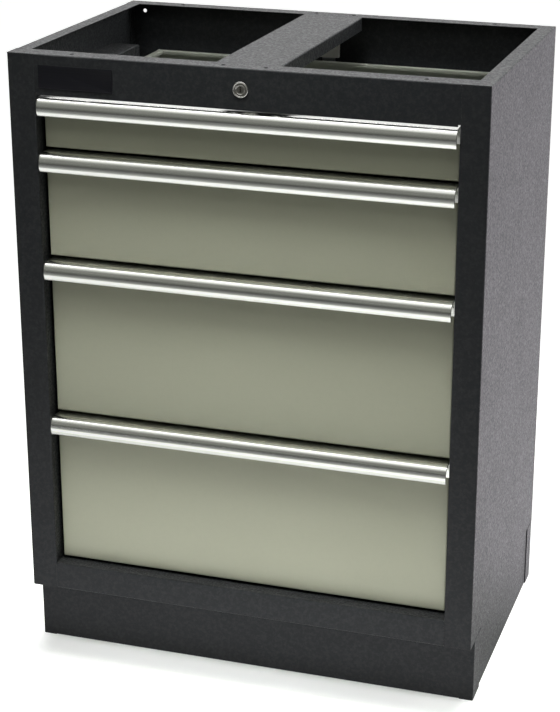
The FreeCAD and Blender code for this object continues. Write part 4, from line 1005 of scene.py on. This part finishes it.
def fastener_tree():
    """Geometry Nodes that put a fastener on each point, facing the way the point says."""
    tree, inside, outside = new_group(
        "fasteners",
        (("Geometry", "NodeSocketGeometry", None), ("Head radius", "NodeSocketFloat", 0.004),
         ("Head height", "NodeSocketFloat", 0.0015), ("Dome", "NodeSocketFloat", 0.4),
         ("Shank radius", "NodeSocketFloat", 0.002), ("Shank length", "NodeSocketFloat", 0.003),
         ("Cross recess", "NodeSocketBool", True), ("Seed", "NodeSocketInt", 7),
         ("Finish", "NodeSocketMaterial", None)),
        (("Geometry", "NodeSocketGeometry"),), "GeometryNodeTree")
    sizes = inside.outputs

    # The head: a disc whose top rises to a dome, flat at the rim's height
    head = feed(tree, add_node(tree, "GeometryNodeMeshCylinder"), Vertices=HEAD_SIDES, Side_Segments=1,
                Fill_Segments=HEAD_RINGS, Radius=sizes["Head radius"], Depth=sizes["Head height"])
    place = split(tree, add_node(tree, "GeometryNodeInputPosition").outputs[0])
    squares = maths(tree, "ADD", times(tree, place["X"], place["X"]), times(tree, place["Y"], place["Y"]))
    rim_square = times(tree, sizes["Head radius"], sizes["Head radius"])
    share = maths(tree, "DIVIDE", squares, rim_square)
    drop = times(tree, times(tree, share, sizes["Dome"]), sizes["Head height"])
    on_top = maths(tree, "GREATER_THAN", place["Z"], 0.0)
    lowered = raise_by(tree, times(tree, times(tree, drop, on_top), -1.0))
    domed = feed(tree, add_node(tree, "GeometryNodeSetPosition"), Geometry=head.outputs["Mesh"],
                 Offset=lowered).outputs[0]

    # The recess: two crossed bars cut out of the head
    length = times(tree, sizes["Head radius"], BAR_LENGTH)
    width = times(tree, sizes["Head radius"], BAR_WIDTH)
    cross = add_node(tree, "GeometryNodeMeshBoolean", operation="UNION")
    for along, across in ((length, width), (width, length)):
        size = feed(tree, add_node(tree, "ShaderNodeCombineXYZ"), X=along, Y=across, Z=sizes["Head height"])
        bar = feed(tree, add_node(tree, "GeometryNodeMeshCube"), Size=size.outputs[0])
        tree.links.new(bar.outputs["Mesh"], cross.inputs["Mesh 2"])
    raised = moved_up(tree, cross.outputs["Mesh"], times(tree, sizes["Head height"], RECESS_LIFT))
    recessed = add_node(tree, "GeometryNodeMeshBoolean", operation="DIFFERENCE")
    tree.links.new(domed, recessed.inputs["Mesh 1"])
    tree.links.new(raised, recessed.inputs["Mesh 2"])
    chosen = add_node(tree, "GeometryNodeSwitch", input_type="GEOMETRY")
    tree.links.new(sizes["Cross recess"], chosen.inputs["Switch"])
    tree.links.new(domed, chosen.inputs["False"])
    tree.links.new(recessed.outputs["Mesh"], chosen.inputs["True"])
    seated = moved_up(tree, chosen.outputs[0], times(tree, sizes["Head height"], 0.5))

    # The shank behind the seat
    shank = feed(tree, add_node(tree, "GeometryNodeMeshCylinder"), Vertices=SHANK_SIDES,
                 Radius=sizes["Shank radius"], Depth=sizes["Shank length"])
    sunk = moved_up(tree, shank.outputs["Mesh"], times(tree, sizes["Shank length"], -0.5))
    whole = add_node(tree, "GeometryNodeJoinGeometry")
    tree.links.new(seated, whole.inputs[0])
    tree.links.new(sunk, whole.inputs[0])

    # One copy on each point, each turned about its own axis by chance
    facing = add_node(tree, "GeometryNodeInputNamedAttribute", data_type="FLOAT_VECTOR")
    facing.inputs["Name"].default_value = "facing"
    aimed = add_node(tree, "FunctionNodeAlignRotationToVector", axis="Z")
    feed(tree, aimed, Vector=facing.outputs[0])
    chance = add_node(tree, "FunctionNodeRandomValue", data_type="FLOAT")
    tree.links.new(sizes["Seed"], chance.inputs["Seed"])
    feed(tree, chance, in2=0.0, in3=math.pi)
    spin = raise_by(tree, chance.outputs[1])
    turned = add_node(tree, "FunctionNodeRotateRotation", rotation_space="LOCAL")
    tree.links.new(aimed.outputs[0], turned.inputs[0])
    tree.links.new(spin, turned.inputs[1])
    copies = add_node(tree, "GeometryNodeInstanceOnPoints")
    feed(tree, copies, Points=sizes["Geometry"], Instance=whole.outputs[0], Rotation=turned.outputs[0])
    real = feed(tree, add_node(tree, "GeometryNodeRealizeInstances"), Geometry=copies.outputs[0])
    painted = feed(tree, add_node(tree, "GeometryNodeSetMaterial"), Geometry=real.outputs[0],
                   Material=sizes["Finish"])
    tree.links.new(painted.outputs[0], outside.inputs["Geometry"])
    return tree


FASTENERS = fastener_tree()
print("fastener tree", len(FASTENERS.nodes), "nodes")


# %% Place the fasteners
def socket_identifier(tree, name):
    """The identifier of a tree's named input, which a modifier is set by."""
    for item in tree.interface.items_tree:
        if item.item_type == "SOCKET" and item.in_out == "INPUT" and item.name == name:
            return item.identifier
    raise KeyError(name)


def run_tree(piece, tree, **values):
    """Run a Geometry Nodes tree on a piece and keep the result as its plain mesh."""
    modifier = piece.modifiers.new(tree.name, "NODES")
    modifier.node_group = tree
    for name, value in values.items():
        modifier[socket_identifier(tree, name.replace("_", " "))] = value
    apply_modifiers(piece)


def copies_of(group, dome, recess):
    """One mesh with a copy of the same fastener on each place of a group."""
    mesh = bpy.data.meshes.new("fastener_points")
    mesh.from_pydata([one["seat"] for one in group], [], [])
    facing = mesh.attributes.new("facing", "FLOAT_VECTOR", "POINT")
    for index, one in enumerate(group):
        facing.data[index].vector = one["facing"]
    piece = new_object("fastener_copies", mesh)
    first = group[0]
    run_tree(piece, FASTENERS, Head_radius=first["head_radius"], Head_height=first["head_height"],
             Dome=dome, Shank_radius=first["shank_radius"], Shank_length=first["shank_length"],
             Cross_recess=recess, Finish=FINISHES["bare_steel"])
    mesh = piece.data
    bpy.data.objects.remove(piece)
    return mesh


RIVET_DOME, SCREW_DOME = 0.7, 0.45
HEAD_CREASE = 35


def make_fasteners(node, body):
    """All the fasteners of one node, on the places and with the sizes of the node's own."""
    groups = {}
    for island in islands_of(node):
        one = measure_fastener(island)
        groups.setdefault((one["axis"], one["shank_length"]), []).append(one)
    whole = bmesh.new()
    for (axis, shank_length), group in groups.items():
        # What lies across the cabinet is a rivet, and the rest are screws
        is_screw = axis != 0
        whole.from_mesh(copies_of(group, SCREW_DOME if is_screw else RIVET_DOME, is_screw))
    piece = new_object(f"{node}_shaped", mesh_from(whole, f"{node}_shaped"))
    shade_smooth(piece, HEAD_CREASE)
    print(node, [len(group) for group in groups.values()], "fasteners", len(piece.data.polygons), "faces")
    return finish_piece(piece, body, "bare_steel", node)


for number in DRAWERS:
    make_fasteners(f"drawer_{number}_fasteners", f"drawer_{number}")
make_fasteners("slide_rivets", "carcass")
make_fasteners("plinth_screws", "carcass")

# %% [markdown]
# ## The studio
#
# The cabinet stands on a pale floor in a white room. Three lamps hang high in front of it, so
# each grip shades the drawer front below it: a long strip, a softbox, and a narrow beam that
# makes the middle of the fronts a little brighter than their ends. A lamp at the right lights
# the side, and two lamps that lie just over the floor stand for the light that pale paper
# throws back up.
#
# What the glossy parts mirror is set apart from what lights them. The lamps are hidden from
# mirrors. A wide bright ceiling draws the band along the crown of each grip, a grey curtain
# round the photographer's side keeps the casing's front dark, and the white room behind the
# cabinet turns its sides grey.
#
# The floor is white for the camera by a light of its own, which is weaker in a patch before
# the plinth, where the picture shows the cabinet's soft shadow. In mirrors the floor is white
# behind the cabinet, and in front of it its brightness changes with the distance.


# %% Stage helpers
def stage_material(name):
    """A material with an empty tree; returns it and the tree."""
    material = bpy.data.materials.new(name)
    material.use_nodes = True
    material.node_tree.nodes.clear()
    return material, material.node_tree


def end_tree(tree, shader, kind="ShaderNodeOutputMaterial"):
    """Join the last shader of a tree to its output."""
    tree.links.new(shader.outputs[0], add_node(tree, kind).inputs[0])


# %% Floor
FLOOR_HALF = 14.0
NEAR_PAPER, FAR_PAPER, PAPER_END = colour(0.62, 0.627, 0.616), colour(0.3, 0.3, 0.3), (0.9, 2.2)
# The floor's own light for the camera, in the open and in the middle of the shadow
OPEN_GLOW, SHADOW_GLOW = 1.0, 0.21
# Distances from the plinth's front and sides at which the shadow fades in or out
SHADOW_AHEAD, SHADOW_BEHIND, SHADOW_ASIDE = (0.115, 0.02), (-0.04, 0.0), (0.04, -0.04)
# How bright the floor is in mirrors, by the distance in front of the cabinet's middle
MIRRORED_FLOOR = ((-0.6, 1.0), (-0.3, 1.0), (0.0, 0.25), (0.25, 0.3), (0.5, 0.48), (0.8, 1.0),
                  (1.05, 0.5), (1.4, 0.1), (2.0, 0.12))
# Mirrored from behind the cabinet, the floor is a little lilac
FLOOR_GLOW_TINT, LILAC_TINT, LILAC_START = colour(0.99, 1.0, 0.985), colour(0.98, 0.935, 1.0), (-0.1, 0.3)


def floor_shadow(tree, in_front, sideways):
    """A mask of the patch of shadow before the plinth."""
    low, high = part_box("plinth_front")
    ahead = maths(tree, "SUBTRACT", in_front, -low.y)
    aside = maths(tree, "SUBTRACT", maths(tree, "ABSOLUTE", sideways), high.x)
    near_front = times(tree, remap(tree, ahead, *SHADOW_AHEAD), remap(tree, ahead, *SHADOW_BEHIND))
    return times(tree, near_front, remap(tree, aside, *SHADOW_ASIDE))


def make_floor():
    """A wide floor, flush with the plinth's underside."""
    builder = bmesh.new()
    corners = ((-1, -1), (1, -1), (1, 1), (-1, 1))
    builder.faces.new([builder.verts.new((x * FLOOR_HALF, y * FLOOR_HALF, LOW.z)) for x, y in corners])
    floor = object_from(builder, "studio_floor")
    material, tree = stage_material("studio_floor")
    place = split(tree, object_place(tree))
    in_front = times(tree, place["Y"], -1.0)
    paper = mixed_colour(tree, remap(tree, in_front, *PAPER_END), NEAR_PAPER, FAR_PAPER)
    rays = add_node(tree, "ShaderNodeLightPath").outputs
    shadow = floor_shadow(tree, in_front, place["X"])
    for_camera = times(tree, rays["Is Camera Ray"], remap(tree, shadow, 0.0, 1.0, OPEN_GLOW, SHADOW_GLOW))
    for_gloss = times(tree, rays["Is Glossy Ray"], ramp(tree, in_front, MIRRORED_FLOOR))
    lilac = times(tree, rays["Is Glossy Ray"], remap(tree, place["Y"], *LILAC_START))
    lit = feed(tree, add_node(tree, "ShaderNodeBsdfDiffuse"), Color=paper)
    glow = feed(tree, add_node(tree, "ShaderNodeEmission"),
                Color=mixed_colour(tree, lilac, FLOOR_GLOW_TINT, LILAC_TINT),
                Strength=maths(tree, "ADD", for_camera, for_gloss))
    both = feed(tree, add_node(tree, "ShaderNodeAddShader"), in0=lit.outputs[0], in1=glow.outputs[0])
    end_tree(tree, both)
    floor.data.materials.append(material)


make_floor()
print("floor", 2 * FLOOR_HALF, "m wide")


# %% Dark side of the room
CURTAIN_RADIUS, CURTAIN_STEPS = 3.6, 24
CURTAIN_TINT = colour(0.98, 1.0, 0.92)
# How bright the curtain is, by height
CURTAIN_LEVELS = ((0.35, 0.05), (1.2, 0.12), (1.8, 0.22), (2.8, 0.2), (3.6, 0.25), (4.6, 0.5), (5.5, 0.8))


def make_curtain():
    """A grey curtain round the photographer's side, seen only in reflections and as soft light."""
    builder = bmesh.new()
    turns = [math.pi * (1.0 + step / CURTAIN_STEPS) for step in range(CURTAIN_STEPS + 1)]
    arc = [(CURTAIN_RADIUS * math.cos(turn), CURTAIN_RADIUS * math.sin(turn)) for turn in turns]
    hem, top = [[builder.verts.new((x, y, height)) for x, y in arc]
                for height in (CURTAIN_LEVELS[0][0], CURTAIN_LEVELS[-1][0])]
    for step in range(CURTAIN_STEPS):
        builder.faces.new((hem[step], hem[step + 1], top[step + 1], top[step]))
    curtain = object_from(builder, "dark_curtain")
    material, tree = stage_material("dark_curtain")
    level = ramp(tree, split(tree, object_place(tree))["Z"], CURTAIN_LEVELS)
    end_tree(tree, feed(tree, add_node(tree, "ShaderNodeEmission"), Color=CURTAIN_TINT, Strength=level))
    curtain.data.materials.append(material)
    curtain.visible_camera = False
    curtain.visible_shadow = False


make_curtain()
print("curtain", CURTAIN_RADIUS, "m from the cabinet's middle")


# %% Lamps
def make_lamp(name, place, aim, size, power, beam_degrees=180):
    """A soft rectangular lamp, hidden from the camera and from mirrors."""
    data = bpy.data.lights.new(name, "AREA")
    data.spread = math.radians(beam_degrees)
    data.shape = "RECTANGLE"
    data.size, data.size_y = size
    data.energy = power
    lamp = new_object(name, data)
    lamp.location = place
    lamp.rotation_euler = (Vector(aim) - Vector(place)).to_track_quat("-Z", "Y").to_euler()
    lamp.visible_camera = False
    lamp.visible_glossy = False
    return lamp


make_lamp("overhead_beam", place=(0.0, -1.02, 3.0), aim=(0.0, -0.23, 0.45), size=(0.6, 0.8), power=2.8,
          beam_degrees=34)
make_lamp("overhead_strip", place=(0.0, -0.8, 3.0), aim=(0.0, -0.8, 0.0), size=(2.4, 0.22), power=7.8)
make_lamp("high_front_softbox", place=(0.0, -1.7, 2.6), aim=(0.0, -0.2, 0.5), size=(1.6, 0.8), power=8.1)
make_lamp("near_paper_bounce", place=(0.0, -0.34, 0.01), aim=(0.0, -0.34, 1.0), size=(0.9, 0.2), power=0.83)
make_lamp("right_wall", place=(2.2, 0.2, 2.2), aim=(0.0, 0.1, 0.7), size=(1.2, 1.2), power=36.4)
make_lamp("far_paper_bounce", place=(0.0, -0.6, 0.01), aim=(0.0, -0.6, 1.0), size=(1.4, 0.3), power=0.45)

# The ceiling is the other way round: only mirrors show it
ceiling = make_lamp("bright_ceiling", place=(-0.7, 0.15, 3.1), aim=(-0.7, 0.0, 0.3), size=(4.6, 1.6),
                    power=47.7)
ceiling.visible_glossy = True
ceiling.visible_diffuse = False
print("lamps", len(bpy.data.lights))

# %% Room
ROOM_SEEN, ROOM_LIGHT = colour(1.0, 1.0, 1.0), colour(0.0, 0.0, 0.0)
world = bpy.data.worlds.new("white_room")
bpy.context.scene.world = world
world.use_nodes = True
room = world.node_tree
room.nodes.clear()
seen = add_node(room, "ShaderNodeLightPath").outputs
mirrored = maths(room, "MAXIMUM", seen["Is Glossy Ray"], seen["Is Transmission Ray"])
looked_at = maths(room, "MAXIMUM", seen["Is Camera Ray"], mirrored)
level = mixed_colour(room, looked_at, ROOM_LIGHT, ROOM_SEEN)
background = feed(room, add_node(room, "ShaderNodeBackground"), Color=level, Strength=1.0)
end_tree(room, background, "ShaderNodeOutputWorld")
bpy.context.scene.view_settings.view_transform = "Standard"
print("room", world.name)
